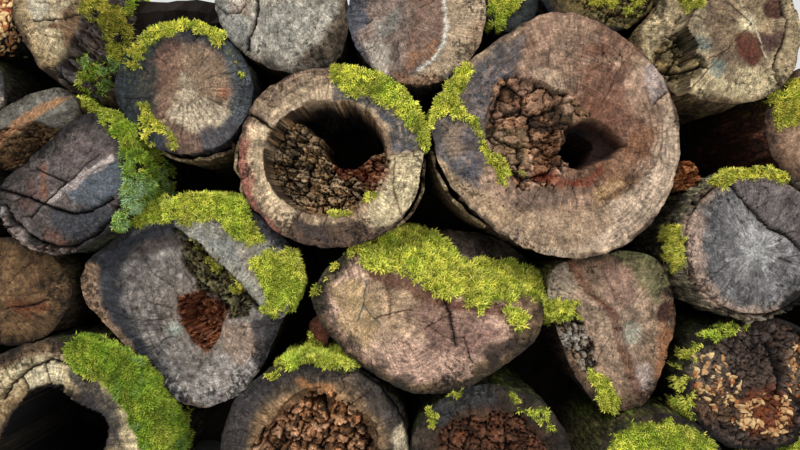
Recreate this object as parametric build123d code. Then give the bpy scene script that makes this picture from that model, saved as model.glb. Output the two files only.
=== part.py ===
from build123d import *
import os
from math import ceil, cos, floor, hypot, pi, radians, sin

# Stack of weathered round logs, lying one on another with the sawn ends to the front.
# X runs across the stack, Y runs along the logs (the front ends face -Y), Z is up from the ground.
# Every log rolls into the hollow between the two logs that are named as its supports.
# All sizes are in millimetres.

# Lengths along the logs
log_length = 2000
short_billet_length = 1400
stub_length = 900

# Fits between pieces
seat_gap = 0.3
ground_touch_gap = 0.5

# Open gaps along the ground
gap_hollow_to_rotten = 140
gap_dark_to_mossy = 52

# Diameters of the logs that lie on the ground, from left to right
left_end_diameter = 331
left_diameter = 313
hollow_ground_diameter = 478
rotten_ground_diameter = 434
dark_ground_diameter = 374
mossy_ground_diameter = 308
thin_ground_diameter = 193
right_diameter = 331
right_end_diameter = 340

# Diameters of the second row
second_left_diameter = 396
pole_diameter = 212
ochre_diameter = 273
slab_faced_diameter = 475
bevelled_diameter = 438
tapering_diameter = 315
fungus_diameter = 322
second_right_diameter = 294

wedge_billet_diameter = 84

# Diameters of the third row
third_left_diameter = 377
flat_sided_diameter = 304
hollow_diameter = 428
widest_diameter = 546
barked_diameter = 350
third_right_diameter = 294
stub_diameter = 72

# Diameters of the upper rows
torn_billet_diameter = 177
small_grey_diameter = 187
blue_rimmed_diameter = 308
yellow_moss_diameter = 313
split_end_diameter = 294
crusted_diameter = 193
pale_sawn_diameter = 310
speckled_diameter = 317
small_mossy_diameter = 130
broken_edge_diameter = 331
fibrous_diameter = 323

# How far each sawn end lies behind the foremost ends
slab_faced_setback = 40
ochre_setback = 60
tapering_setback = 50
fungus_setback = 20
torn_setback = 20
small_grey_setback = 20
yellow_moss_setback = 20
pale_sawn_setback = 30
small_mossy_setback = 60
fibrous_setback = 90
stub_setback = 60
wedge_billet_setback = 90

# Rotted hollows and pockets in the sawn ends
hollow_width = 276
hollow_shelf_depth = 95
hollow_deep_width = 128
hollow_deep_depth = 620
heart_rot_width = 214
heart_rot_depth = 28
heart_hole_width = 84
heart_hole_depth = 340
slab_rot_width = 104
slab_rot_depth = 60
ground_hollow_width = 250
ground_hollow_depth = 520
ground_rot_width = 270
ground_rot_depth = 40

# Broken and bevelled ends
slab_thickness = 34
bevel_slope = 52
split_slope = 58
torn_slope = 38
step_depth = 55
pale_edge_slope = 40

# Loose bark sheets
bark_thickness = 7
bark_standoff = 9
bark_length = 1150
bark_setback = 12
bark_room = 4
wide_bark_width = 430
narrow_bark_width = 280
bark_strip_width = 240

# Outline shapes: the radius at equal steps of angle, counter-clockwise from +X,
# as shares of half the log's diameter.
round_shape = (1.0, 1.01, 1.0, 0.99, 1.0, 1.01, 1.0, 0.99, 1.0, 1.01, 1.0, 0.99)
oval_shape = (1.03, 1.01, 0.98, 0.97, 0.99, 1.02, 1.03, 1.0, 0.98, 0.97, 0.99, 1.02)
hollow_shape = (1.0, 1.06, 1.05, 0.99, 0.97, 0.98, 1.0, 1.0,
                0.99, 0.99, 0.99, 0.98, 0.97, 0.99, 1.01, 1.0)
widest_shape = (1.0, 0.99, 0.98, 1.0, 1.04, 0.98, 0.97, 1.06,
                1.08, 1.02, 0.97, 0.98, 1.03, 1.07, 1.06, 1.03)
slab_faced_shape = (1.07, 1.22, 1.17, 1.13, 1.07, 1.03, 0.97, 1.04,
                    0.97, 0.77, 0.74, 0.82, 1.06, 1.09, 1.02, 0.97)
bevelled_shape = (1.2, 1.28, 1.14, 0.97, 0.91, 0.96, 1.07, 1.17,
                  1.14, 0.99, 0.87, 0.83, 0.82, 0.82, 0.85, 1.0)
tapering_shape = (1.04, 1.1, 1.2, 1.16, 1.04, 1.06, 1.12, 0.94,
                  0.78, 0.74, 0.82, 1.02, 1.32, 1.38, 1.16, 1.02)
flat_sided_shape = (1.2, 1.3, 1.38, 1.16, 0.8, 0.62, 0.58, 0.65,
                    0.86, 0.98, 1.06, 1.06, 1.07, 1.04, 1.04, 1.11)
ochre_shape = (1.03, 1.0, 0.96, 0.98, 0.99, 1.02, 1.05, 1.0,
               1.03, 1.04, 1.03, 0.94, 0.93, 0.93, 0.98, 1.0)
fungus_shape = (1.06, 1.06, 1.05, 1.02, 0.96, 0.93, 0.95, 1.0,
                1.03, 1.03, 1.0, 0.97, 0.95, 0.97, 1.0, 1.03)
billet_shape = (1.15, 1.38, 1.3, 0.95, 0.78, 0.7, 0.72, 0.85,
                1.1, 1.45, 1.6, 1.1, 0.76, 0.68, 0.7, 0.85)
split_end_shape = (0.95, 0.93, 0.98, 1.05, 1.15, 1.18, 1.12, 1.02,
                   0.93, 0.85, 0.88, 1.02, 1.15, 1.17, 1.0, 0.95)
pale_sawn_shape = (1.08, 1.02, 1.0, 1.0, 0.98, 0.97, 0.96, 0.95,
                   0.93, 0.92, 0.93, 0.96, 1.05, 1.2, 1.24, 1.16)
broken_edge_shape = (1.06, 1.05, 1.03, 1.02, 0.99, 0.99, 0.95, 1.0,
                     1.12, 1.08, 0.98, 0.95, 0.96, 1.0, 1.06, 1.08)
wedge_shape = (0.72, 0.9, 1.12, 1.05, 0.9, 0.74, 0.6, 0.62, 0.82, 1.05, 0.84, 0.62)
hollow_opening_shape = (1.0, 0.98, 0.95, 0.86, 0.9, 0.96, 1.02, 1.03, 1.0, 0.97, 0.92, 0.97)
rot_opening_shape = (1.0, 1.08, 0.92, 1.05, 0.95, 0.86, 0.95, 1.04, 0.9, 1.08, 0.94, 0.9)
heart_rot_shape = (0.62, 0.75, 1.05, 1.12, 1.08, 1.0, 0.92, 0.86, 0.95, 1.12, 1.0, 0.75)

# Working lists of the stack
sample_count = 240
levels_per_mm = 2
logs = {}
skyline = {}


# Turns a diameter and a shape into the points that the outline passes through.
def outline_points(diameter, shape, centre=(0, 0)):
    points = []
    for k, share in enumerate(shape):
        angle = 2 * pi * k / len(shape)
        radius = diameter / 2 * share
        points.append((centre[0] + radius * cos(angle), centre[1] + radius * sin(angle)))
    return points


# The closed curve through these points, in the XZ plane at the given depth.
def outline_curve(points, depth=0):
    return Spline(*[(x, depth, z) for x, z in points], periodic=True)


def sampled(points):
    curve = outline_curve(points)
    found = []
    for k in range(sample_count):
        spot = curve.position_at(k / sample_count)
        found.append((spot.X, spot.Z))
    return found


# The outline pushed outwards by a gap, measured square to the surface.
def widened(points, gap):
    found = []
    for k, (x, z) in enumerate(points):
        before = points[k - 1]
        after = points[(k + 1) % len(points)]
        along_x = after[0] - before[0]
        along_z = after[1] - before[1]
        size = hypot(along_x, along_z)
        found.append((x + gap * along_z / size, z - gap * along_x / size))
    return found


# Height of the outline's upper (side 1) or lower (side -1) surface at each half millimetre of X.
# A level stays between the heights of its two ends, so upright sides keep a small reserve.
def surface(points, x, z, side):
    found = {}
    for k, start in enumerate(points):
        end = points[(k + 1) % len(points)]
        low, high = sorted(((start[0] + x, start[1] + z), (end[0] + x, end[1] + z)))
        bottom = min(low[1], high[1])
        top = max(low[1], high[1])
        run = max(high[0] - low[0], 1e-9)
        for spot in range(floor(low[0] * levels_per_mm), ceil(high[0] * levels_per_mm) + 1):
            share = (spot / levels_per_mm - low[0]) / run
            level = min(top, max(bottom, low[1] + (high[1] - low[1]) * share))
            if spot not in found or (level - found[spot]) * side > 0:
                found[spot] = level
    return found


# The height at which an outline comes to rest when it is lowered at this X.
def resting_height(points, x):
    under = surface(points, x, 0, -1)
    return max(skyline.get(spot, 0) - level for spot, level in under.items())


def settle(name, x, z, points, diameter, shape, setback, length):
    logs[name] = {
        "x": x,
        "z": z,
        "points": points,
        "diameter": diameter,
        "shape": shape,
        "front": setback,
        "length": length,
    }
    for spot, level in surface(points, x, z, 1).items():
        if level > skyline.get(spot, 0):
            skyline[spot] = level


# A log on the ground, pushed sideways up to the one before it.
def on_ground(name, diameter, shape=round_shape, beside=None, gap=ground_touch_gap, setback=0):
    points = sampled(outline_points(diameter, shape))
    z = -min(pz for px, pz in points)
    x = 0
    if beside:
        log = logs[beside]
        right_side = surface([(pz, px) for px, pz in log["points"]], log["z"], log["x"], 1)
        left_side = surface([(pz, px) for px, pz in widened(points, gap)], z, 0, -1)
        x = max(right_side[spot] - left_side[spot] for spot in left_side if spot in right_side)
    settle(name, x, z, points, diameter, shape, setback, log_length)


# A log that is lowered between two others and rolls down until both hold it.
def in_cradle(name, diameter, left, right, shape=round_shape, setback=0, length=log_length):
    points = sampled(outline_points(diameter, shape))
    gapped = widened(points, seat_gap)
    first = ceil(logs[left]["x"] * levels_per_mm)
    last = floor(logs[right]["x"] * levels_per_mm)
    x = min(range(first, last + 1), key=lambda spot: skyline.get(spot, 0)) / levels_per_mm
    height = resting_height(gapped, x)
    step = diameter / 40
    while step > 0.02:
        moved = False
        for shift in (-step, step):
            trial = resting_height(gapped, x + shift)
            if trial < height - 1e-9:
                x = x + shift
                height = trial
                moved = True
                break
        if not moved:
            step = step / 2
    settle(name, x, height, points, diameter, shape, setback, length)


# A billet that is lowered straight down on to the crown of a log.
def on_crown(name, diameter, under, shape, setback, length):
    points = sampled(outline_points(diameter, shape))
    lowest = min(points, key=lambda spot: spot[1])
    x = logs[under]["x"] - lowest[0]
    height = resting_height(widened(points, seat_gap), x)
    settle(name, x, height, points, diameter, shape, setback, length)


# The ground row
on_ground("ground_log_left_end", left_end_diameter)
on_ground("ground_log_left", left_diameter, oval_shape, "ground_log_left_end")
on_ground("hollow_ground_log", hollow_ground_diameter, round_shape, "ground_log_left")
on_ground(
    "rotten_ground_log", rotten_ground_diameter, round_shape, "hollow_ground_log", gap_hollow_to_rotten
)
on_ground("dark_ground_log", dark_ground_diameter, round_shape, "rotten_ground_log")
on_ground(
    "mossy_ground_log", mossy_ground_diameter, round_shape, "dark_ground_log", gap_dark_to_mossy
)
on_ground("thin_ground_log", thin_ground_diameter, round_shape, "mossy_ground_log")
on_ground("ground_log_right", right_diameter, round_shape, "thin_ground_log")
on_ground("ground_log_right_end", right_end_diameter, oval_shape, "ground_log_right")

# The second row
in_cradle("pole", pole_diameter, "ground_log_left", "hollow_ground_log")
in_cradle(
    "slab_faced_log", slab_faced_diameter, "hollow_ground_log", "rotten_ground_log",
    slab_faced_shape, slab_faced_setback,
)
in_cradle("ochre_log", ochre_diameter, "pole", "slab_faced_log", ochre_shape, ochre_setback)
on_crown(
    "wedge_billet", wedge_billet_diameter, "rotten_ground_log",
    wedge_shape, wedge_billet_setback, short_billet_length,
)
in_cradle("bevelled_log", bevelled_diameter, "rotten_ground_log", "dark_ground_log", bevelled_shape)
in_cradle(
    "tapering_log", tapering_diameter, "dark_ground_log", "mossy_ground_log",
    tapering_shape, tapering_setback,
)
in_cradle(
    "fungus_log", fungus_diameter, "mossy_ground_log", "ground_log_right",
    fungus_shape, fungus_setback,
)
in_cradle("second_row_log_left", second_left_diameter, "ground_log_left_end", "ground_log_left")
in_cradle("second_row_log_right", second_right_diameter, "ground_log_right", "ground_log_right_end")

# The third row
in_cradle("flat_sided_log", flat_sided_diameter, "ochre_log", "slab_faced_log", flat_sided_shape)
in_cradle("third_row_log_left", third_left_diameter, "second_row_log_left", "ochre_log", oval_shape)
in_cradle("hollow_log", hollow_diameter, "slab_faced_log", "bevelled_log", hollow_shape)
in_cradle("widest_log", widest_diameter, "bevelled_log", "tapering_log", widest_shape)
in_cradle("barked_log", barked_diameter, "widest_log", "fungus_log")
in_cradle("third_row_log_right", third_right_diameter, "barked_log", "second_row_log_right")
in_cradle(
    "broken_pole", stub_diameter, "widest_log", "barked_log", oval_shape, stub_setback, stub_length
)

# The upper rows
in_cradle(
    "torn_billet", torn_billet_diameter, "third_row_log_left", "flat_sided_log",
    billet_shape, torn_setback, short_billet_length,
)
in_cradle(
    "small_grey_log", small_grey_diameter, "third_row_log_left", "torn_billet",
    round_shape, small_grey_setback,
)
in_cradle("blue_rimmed_log", blue_rimmed_diameter, "flat_sided_log", "hollow_log", oval_shape)
in_cradle(
    "yellow_moss_log", yellow_moss_diameter, "barked_log", "third_row_log_right",
    round_shape, yellow_moss_setback,
)
in_cradle("split_end_log", split_end_diameter, "torn_billet", "blue_rimmed_log", split_end_shape)
in_cradle("crusted_log", crusted_diameter, "small_grey_log", "split_end_log")
in_cradle(
    "pale_sawn_log", pale_sawn_diameter, "blue_rimmed_log", "hollow_log",
    pale_sawn_shape, pale_sawn_setback,
)
in_cradle("speckled_log", speckled_diameter, "hollow_log", "widest_log", round_shape)
in_cradle(
    "small_mossy_log", small_mossy_diameter, "speckled_log", "widest_log",
    oval_shape, small_mossy_setback,
)
in_cradle(
    "broken_edge_log", broken_edge_diameter, "widest_log", "yellow_moss_log", broken_edge_shape
)
in_cradle(
    "fibrous_log", fibrous_diameter, "widest_log", "broken_edge_log", oval_shape, fibrous_setback
)

# The whole stack is moved so that X and Y are zero at the middle of its footprint.
left_edge = min(log["x"] + px for log in logs.values() for px, pz in log["points"])
right_edge = max(log["x"] + px for log in logs.values() for px, pz in log["points"])
front_edge = min(log["front"] for log in logs.values())
rear_edge = max(log["front"] + log["length"] for log in logs.values())
for log in logs.values():
    log["x"] -= (left_edge + right_edge) / 2
    log["front"] -= (front_edge + rear_edge) / 2


# A solid along the log, from an outline at the given depth behind its front end.
def along_log(points, log, start, length):
    placed = [(log["x"] + px, log["z"] + pz) for px, pz in points]
    return extrude(make_face(outline_curve(placed, log["front"] + start)), length, dir=(0, 1, 0))


def log_solid(name):
    log = logs[name]
    return along_log(outline_points(log["diameter"], log["shape"]), log, 0, log["length"])


# A pocket cut into the front end; its centre is given as shares of the log's radius.
def pocket(name, across, up, width, shape, depth):
    log = logs[name]
    radius = log["diameter"] / 2
    points = outline_points(width, shape, (across * radius, up * radius))
    return along_log(points, log, -1, depth + 1)


# The part of the front end on one side of a broken line, cut back by a depth.
def step_cut(name, line, depth):
    log = logs[name]
    radius = log["diameter"] / 2
    corners = [(log["x"] + a * radius, log["front"] - 1, log["z"] + b * radius) for a, b in line]
    return extrude(make_face(Polyline(*corners, close=True)), depth + 1, dir=(0, 1, 0))


# The wood in front of a sloping plane through a line across the front end.
def slope_cut(name, start, end, slope):
    log = logs[name]
    radius = log["diameter"] / 2
    along = Vector(end[0] - start[0], 0, end[1] - start[1]).normalized()
    sideways = Vector(-along.Z, 0, along.X)
    outward = Vector(0, -1, 0) * cos(radians(slope)) + sideways * sin(radians(slope))
    middle = (
        log["x"] + radius * (start[0] + end[0]) / 2,
        log["front"],
        log["z"] + radius * (start[1] + end[1]) / 2,
    )
    size = 4 * log["diameter"]
    block = Box(size, size, size, align=(Align.CENTER, Align.CENTER, Align.MIN))
    return Plane(origin=middle, x_dir=along, z_dir=outward) * block


# Outlines that loose bark must keep clear of
obstacles = {}
for name, log in logs.items():
    obstacles[name] = [(log["x"] + px, log["z"] + pz) for px, pz in log["points"]]


# Distance from a point to one closed outline, negative inside it.
def clearance(spot, outline):
    nearest = 1e9
    inside = False
    for k, (bx, bz) in enumerate(outline):
        ax, az = outline[k - 1]
        ex = bx - ax
        ez = bz - az
        share = ((spot[0] - ax) * ex + (spot[1] - az) * ez) / max(ex * ex + ez * ez, 1e-12)
        share = min(1, max(0, share))
        nearest = min(nearest, hypot(spot[0] - ax - share * ex, spot[1] - az - share * ez))
        if (az > spot[1]) != (bz > spot[1]) and spot[0] < ax + (spot[1] - az) * ex / ez:
            inside = not inside
    return -nearest if inside else nearest


# A curved sheet of loose bark that lies round its log, in the open room nearest the given angle.
def bark_sheet(name, host, angle, width):
    log = logs[host]
    radius = log["diameter"] / 2
    outer = widened(log["points"], seat_gap + bark_standoff + bark_thickness)
    count = len(outer)
    reach = width * count / (2 * pi * log["diameter"])
    others = [
        outline for owner, outline in obstacles.items()
        if owner != host
        and min(hypot(px - log["x"], pz - log["z"]) for px, pz in outline) < log["diameter"]
    ]
    wanted = min(range(count), key=lambda k: hypot(
        outer[k][0] - radius * cos(radians(angle)),
        outer[k][1] - radius * sin(radians(angle)),
    ))
    is_open = []
    for px, pz in outer:
        spot = (px + log["x"], pz + log["z"])
        is_open.append(min(clearance(spot, outline) for outline in others) >= bark_room)

    def run(start, turn):
        steps = 0
        while steps < reach - 0.5 and is_open[(start + turn * (steps + 1)) % count]:
            steps += 1
        return steps

    def room(k):
        return is_open[k % count] * (run(k, -1) + run(k, 1)) - 1.01 * abs(k - wanted)

    middle = max(range(wanted - count // 2, wanted + count // 2), key=room)
    first = middle - run(middle, -1)
    last = middle + run(middle, 1)
    inside = []
    outside = []
    pieces = 12
    for k in range(pieces + 1):
        spot = round(first + (last - first) * k / pieces) % count
        off = seat_gap + bark_standoff * sin(pi * k / pieces)
        for gap, found in ((off, inside), (off + bark_thickness, outside)):
            px, pz = widened(log["points"], gap)[spot]
            found.append((px + log["x"], log["front"] + bark_setback, pz + log["z"]))
    obstacles[name] = [(px, pz) for px, py, pz in inside + outside[::-1]]
    rim = [
        Spline(*inside),
        Line(inside[-1], outside[-1]),
        Spline(*outside[::-1]),
        Line(outside[0], inside[0]),
    ]
    solids[name] = extrude(make_face(Wire(rim)), bark_length, dir=(0, 1, 0))


solids = {name: log_solid(name) for name in logs}

# Hollow log: a rotted-out middle with a shelf of rotten wood and a deep hole beyond it
solids["hollow_log"] -= pocket(
    "hollow_log", -0.05, 0.02, hollow_width, hollow_opening_shape, hollow_shelf_depth
)
solids["hollow_log"] -= pocket(
    "hollow_log", 0.16, 0.22, hollow_deep_width, round_shape, hollow_deep_depth
)

# Widest log: sunken cubed rot in the heart and a hole beside it
solids["widest_log"] -= pocket(
    "widest_log", -0.26, 0.03, heart_rot_width, heart_rot_shape, heart_rot_depth
)
solids["widest_log"] -= pocket(
    "widest_log", 0.16, -0.12, heart_hole_width, rot_opening_shape, heart_hole_depth
)

# Slab-faced log: all but a raised slab at the upper right has split away
slab_line = (
    (-0.25, 1.5), (-0.12, 0.8), (0.3, 0.43), (0.77, -0.03), (1.5, -0.3), (1.5, -1.5), (-1.5, -1.5),
    (-1.5, 1.5),
)
solids["slab_faced_log"] -= step_cut("slab_faced_log", slab_line, slab_thickness)
solids["slab_faced_log"] -= pocket(
    "slab_faced_log", 0.19, -0.11, slab_rot_width, rot_opening_shape, slab_thickness + slab_rot_depth
)

# Bevelled log: the upper half of the end slopes back
solids["bevelled_log"] -= slope_cut("bevelled_log", (-0.86, 0.61), (0.84, -0.04), bevel_slope)

# Split-end log: the right side of the end is torn off at a slant
solids["split_end_log"] -= slope_cut("split_end_log", (-0.03, 0.34), (-0.5, -0.73), split_slope)

# Torn billet: the lower side of the end is torn off
solids["torn_billet"] -= slope_cut("torn_billet", (1.0, 0.35), (-1.0, -0.45), torn_slope)

# Pale sawn log: a chamfer at the lower right of the end
solids["pale_sawn_log"] -= slope_cut("pale_sawn_log", (1.12, -0.2), (0.2, -1.12), pale_edge_slope)

# Broken-edge log: blocks have broken out of the left side of the end
step_line = (
    (-0.4, 1.5), (-0.4, 0.4), (-0.55, 0.12), (-0.38, -0.15), (-0.5, -0.5), (-0.45, -1.5),
    (-1.6, -1.5), (-1.6, 1.5),
)
solids["broken_edge_log"] -= step_cut("broken_edge_log", step_line, step_depth)

# Hollow and rotten logs on the ground
solids["hollow_ground_log"] -= pocket(
    "hollow_ground_log", -0.06, -0.02, ground_hollow_width, rot_opening_shape, ground_hollow_depth
)
solids["rotten_ground_log"] -= pocket(
    "rotten_ground_log", 0.0, 0.02, ground_rot_width, rot_opening_shape, ground_rot_depth
)

# Loose bark sheets in the gaps, with the angle on the log and the width around it
bark_sheet("bark_under_widest_log", "widest_log", 212, wide_bark_width)
bark_sheet("bark_beside_hollow_log", "hollow_log", 338, narrow_bark_width)
bark_sheet("bark_under_hollow_log", "hollow_log", 200, narrow_bark_width)
bark_sheet("bark_under_blue_rimmed_log", "blue_rimmed_log", 285, bark_strip_width)

os.makedirs("parts", exist_ok=True)
for name, solid in solids.items():
    solid.label = name
    export_step(solid, "parts/" + name + ".step")
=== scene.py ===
import math
import bmesh
import bpy
import numpy as np
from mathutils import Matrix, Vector
from mathutils.bvhtree import BVHTree


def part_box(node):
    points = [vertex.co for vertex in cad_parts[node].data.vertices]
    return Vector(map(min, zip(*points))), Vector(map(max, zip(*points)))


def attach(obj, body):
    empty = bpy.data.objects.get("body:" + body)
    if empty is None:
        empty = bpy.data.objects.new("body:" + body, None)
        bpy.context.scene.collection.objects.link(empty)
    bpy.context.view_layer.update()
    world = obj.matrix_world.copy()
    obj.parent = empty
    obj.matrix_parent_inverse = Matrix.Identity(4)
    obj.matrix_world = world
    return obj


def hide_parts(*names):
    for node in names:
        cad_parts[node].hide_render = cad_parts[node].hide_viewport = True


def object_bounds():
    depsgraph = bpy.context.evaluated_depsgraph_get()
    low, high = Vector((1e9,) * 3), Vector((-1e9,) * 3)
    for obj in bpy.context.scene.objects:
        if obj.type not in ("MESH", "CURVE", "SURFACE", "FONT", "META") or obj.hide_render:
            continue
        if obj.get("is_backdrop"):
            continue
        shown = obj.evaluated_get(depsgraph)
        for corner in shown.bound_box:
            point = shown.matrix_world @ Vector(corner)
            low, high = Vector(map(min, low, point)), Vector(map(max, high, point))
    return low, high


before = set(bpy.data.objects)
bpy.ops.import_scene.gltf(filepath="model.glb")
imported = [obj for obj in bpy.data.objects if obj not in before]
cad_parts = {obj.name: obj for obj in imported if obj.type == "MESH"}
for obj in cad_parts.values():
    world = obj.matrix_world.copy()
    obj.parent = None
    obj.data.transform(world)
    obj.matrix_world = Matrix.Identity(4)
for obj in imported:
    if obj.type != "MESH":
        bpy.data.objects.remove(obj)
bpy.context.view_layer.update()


# Outer logs: eight rough logs in furrowed bark that lie beyond both sides of the view. They are sawn
# across and laid first, at the ends of the rows, and keep the other logs from rolling away.

# Places on all logs are read in the front view, in steps across and down from its upper left
# corner. A step is front_step metres at the foremost ends.
eye = np.array((0.030, -2.445, 0.743))
view_middle = (400, 225)
view_steps = 608.7
front_step = 0.0023
fine = 1.0
FRONT, SIDE, BACK = range(3)


# Where places appear in the front view, seen from the eye
def seen_at(points):
    away = points[:, 1] - eye[1]
    across = view_middle[0] + view_steps * (points[:, 0] - eye[0]) / away
    down = view_middle[1] - view_steps * (points[:, 2] - eye[2]) / away
    return np.stack((across, down), 1)


# A chance value from 0 to 1 for each cell, the same in every run
def hashed(x, y, z, seed):
    n = (x * 73856093) ^ (y * 19349663) ^ (z * 83492791)
    n = (n ^ (seed * 40503 + 977)) & 0xFFFFFFFF
    n = ((n ^ (n >> 15)) * 2246822519) & 0xFFFFFFFF
    n = ((n ^ (n >> 13)) * 3266489917) & 0xFFFFFFFF
    return (n ^ (n >> 16)) / 0xFFFFFFFF


# Smooth lumps of the given size, from -1 to 1
def lumps(points, size, seed, octaves=3):
    total = np.zeros(len(points))
    weight = 1.0
    for octave in range(octaves):
        place = points / size * 2**octave + 31.7 * (octave + 1)
        cell = np.floor(place).astype(np.int64)
        part = place - cell
        part = part * part * (3 - 2 * part)
        value = np.zeros(len(points))
        for corner in range(8):
            share = 1.0
            steps = (corner & 1, corner >> 1 & 1, corner >> 2 & 1)
            for axis, step in enumerate(steps):
                share = share * (part[:, axis] if step else 1 - part[:, axis])
            value += share * hashed(
                cell[:, 0] + steps[0], cell[:, 1] + steps[1], cell[:, 2] + steps[2], seed + octave
            )
        total += weight * (2 * value - 1)
        weight *= 0.5
    return total


# A smooth rise from 0 to 1 between two values
def soft_step(value, low, high):
    share = np.clip((value - low) / (high - low), 0, 1)
    return share * share * (3 - 2 * share)


# How far inside a closed line each place lies, negative outside it
def depth_inside(seen, line):
    nearest = np.full(len(seen), 1e9)
    inside = np.zeros(len(seen), bool)
    for k, (bx, by) in enumerate(line):
        ax, ay = line[k - 1]
        ex, ey = bx - ax, by - ay
        px, py = seen[:, 0] - ax, seen[:, 1] - ay
        share = np.clip((px * ex + py * ey) / max(ex * ex + ey * ey, 1e-9), 0, 1)
        nearest = np.minimum(nearest, np.hypot(px - share * ex, py - share * ey))
        crosses = (ay > seen[:, 1]) != (by > seen[:, 1])
        inside ^= crosses & (px < py * ex / (ey if ey else 1e-9))
    return np.where(inside, nearest, -nearest)


# A colour as light, from the values of 0 to 255 in which it is written
def paint(colour):
    return np.array([(c / 255) ** 2.2 for c in colour])


# A material made up of the values laid on the mesh and of patterns through the solid wood
class Shader:
    def __init__(self, name, roughness):
        self.material = bpy.data.materials.new(name)
        self.material.use_nodes = True
        self.nodes = self.material.node_tree.nodes
        self.links = self.material.node_tree.links
        self.out = self.nodes["Principled BSDF"]
        self.out.inputs["Roughness"].default_value = roughness
        self.out.inputs["Specular IOR Level"].default_value = 0.25

    def value(self, name):
        made = self.nodes.new("ShaderNodeAttribute")
        made.attribute_name = name
        return made

    def maths(self, operation, *terms):
        made = self.nodes.new("ShaderNodeMath")
        made.operation = operation
        for place, term in enumerate(terms):
            if isinstance(term, (int, float)):
                made.inputs[place].default_value = term
            else:
                self.links.new(term, made.inputs[place])
        return made.outputs[0]

    def times(self, *terms):
        return self.maths("MULTIPLY", *terms)

    def plus(self, *terms):
        return self.maths("ADD", *terms)

    def noise(self, place, scale, detail, rough=0.6):
        made = self.nodes.new("ShaderNodeTexNoise")
        made.inputs["Scale"].default_value = scale
        made.inputs["Detail"].default_value = detail
        made.inputs["Roughness"].default_value = rough
        self.links.new(place, made.inputs["Vector"])
        return made.outputs["Fac"]

    def spread(self, value, low, high, start=0.3, end=0.7):
        made = self.nodes.new("ShaderNodeMapRange")
        self.links.new(value, made.inputs["Value"])
        for name, number in (("From Min", start), ("From Max", end), ("To Min", low), ("To Max", high)):
            made.inputs[name].default_value = number
        return made.outputs[0]

    def clefts(self, place, scale):
        made = self.nodes.new("ShaderNodeTexVoronoi")
        made.feature = "DISTANCE_TO_EDGE"
        made.inputs["Scale"].default_value = scale
        self.links.new(place, made.inputs["Vector"])
        return made.outputs["Distance"]

    def place(self, scale=(1, 1, 1)):
        where = self.nodes.new("ShaderNodeTexCoord")
        made = self.nodes.new("ShaderNodeMapping")
        made.inputs["Scale"].default_value = scale
        self.links.new(where.outputs["Object"], made.inputs["Vector"])
        return made.outputs[0]

    def mix(self, share, first, second):
        made = self.nodes.new("ShaderNodeMix")
        made.data_type = "RGBA"
        self.links.new(share, made.inputs[0])
        for place, colour in ((6, first), (7, second)):
            if isinstance(colour, tuple):
                made.inputs[place].default_value = (*paint(colour), 1)
            else:
                self.links.new(colour, made.inputs[place])
        return made.outputs[2]

    def lit(self, colour, light):
        made = self.nodes.new("ShaderNodeVectorMath")
        made.operation = "SCALE"
        self.links.new(colour, made.inputs[0])
        self.links.new(light, made.inputs["Scale"])
        return made.outputs[0]

    def bumps(self, height, strength, distance):
        made = self.nodes.new("ShaderNodeBump")
        made.inputs["Strength"].default_value = strength
        made.inputs["Distance"].default_value = distance
        self.links.new(height, made.inputs["Height"])
        self.links.new(made.outputs[0], self.out.inputs["Normal"])


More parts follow.
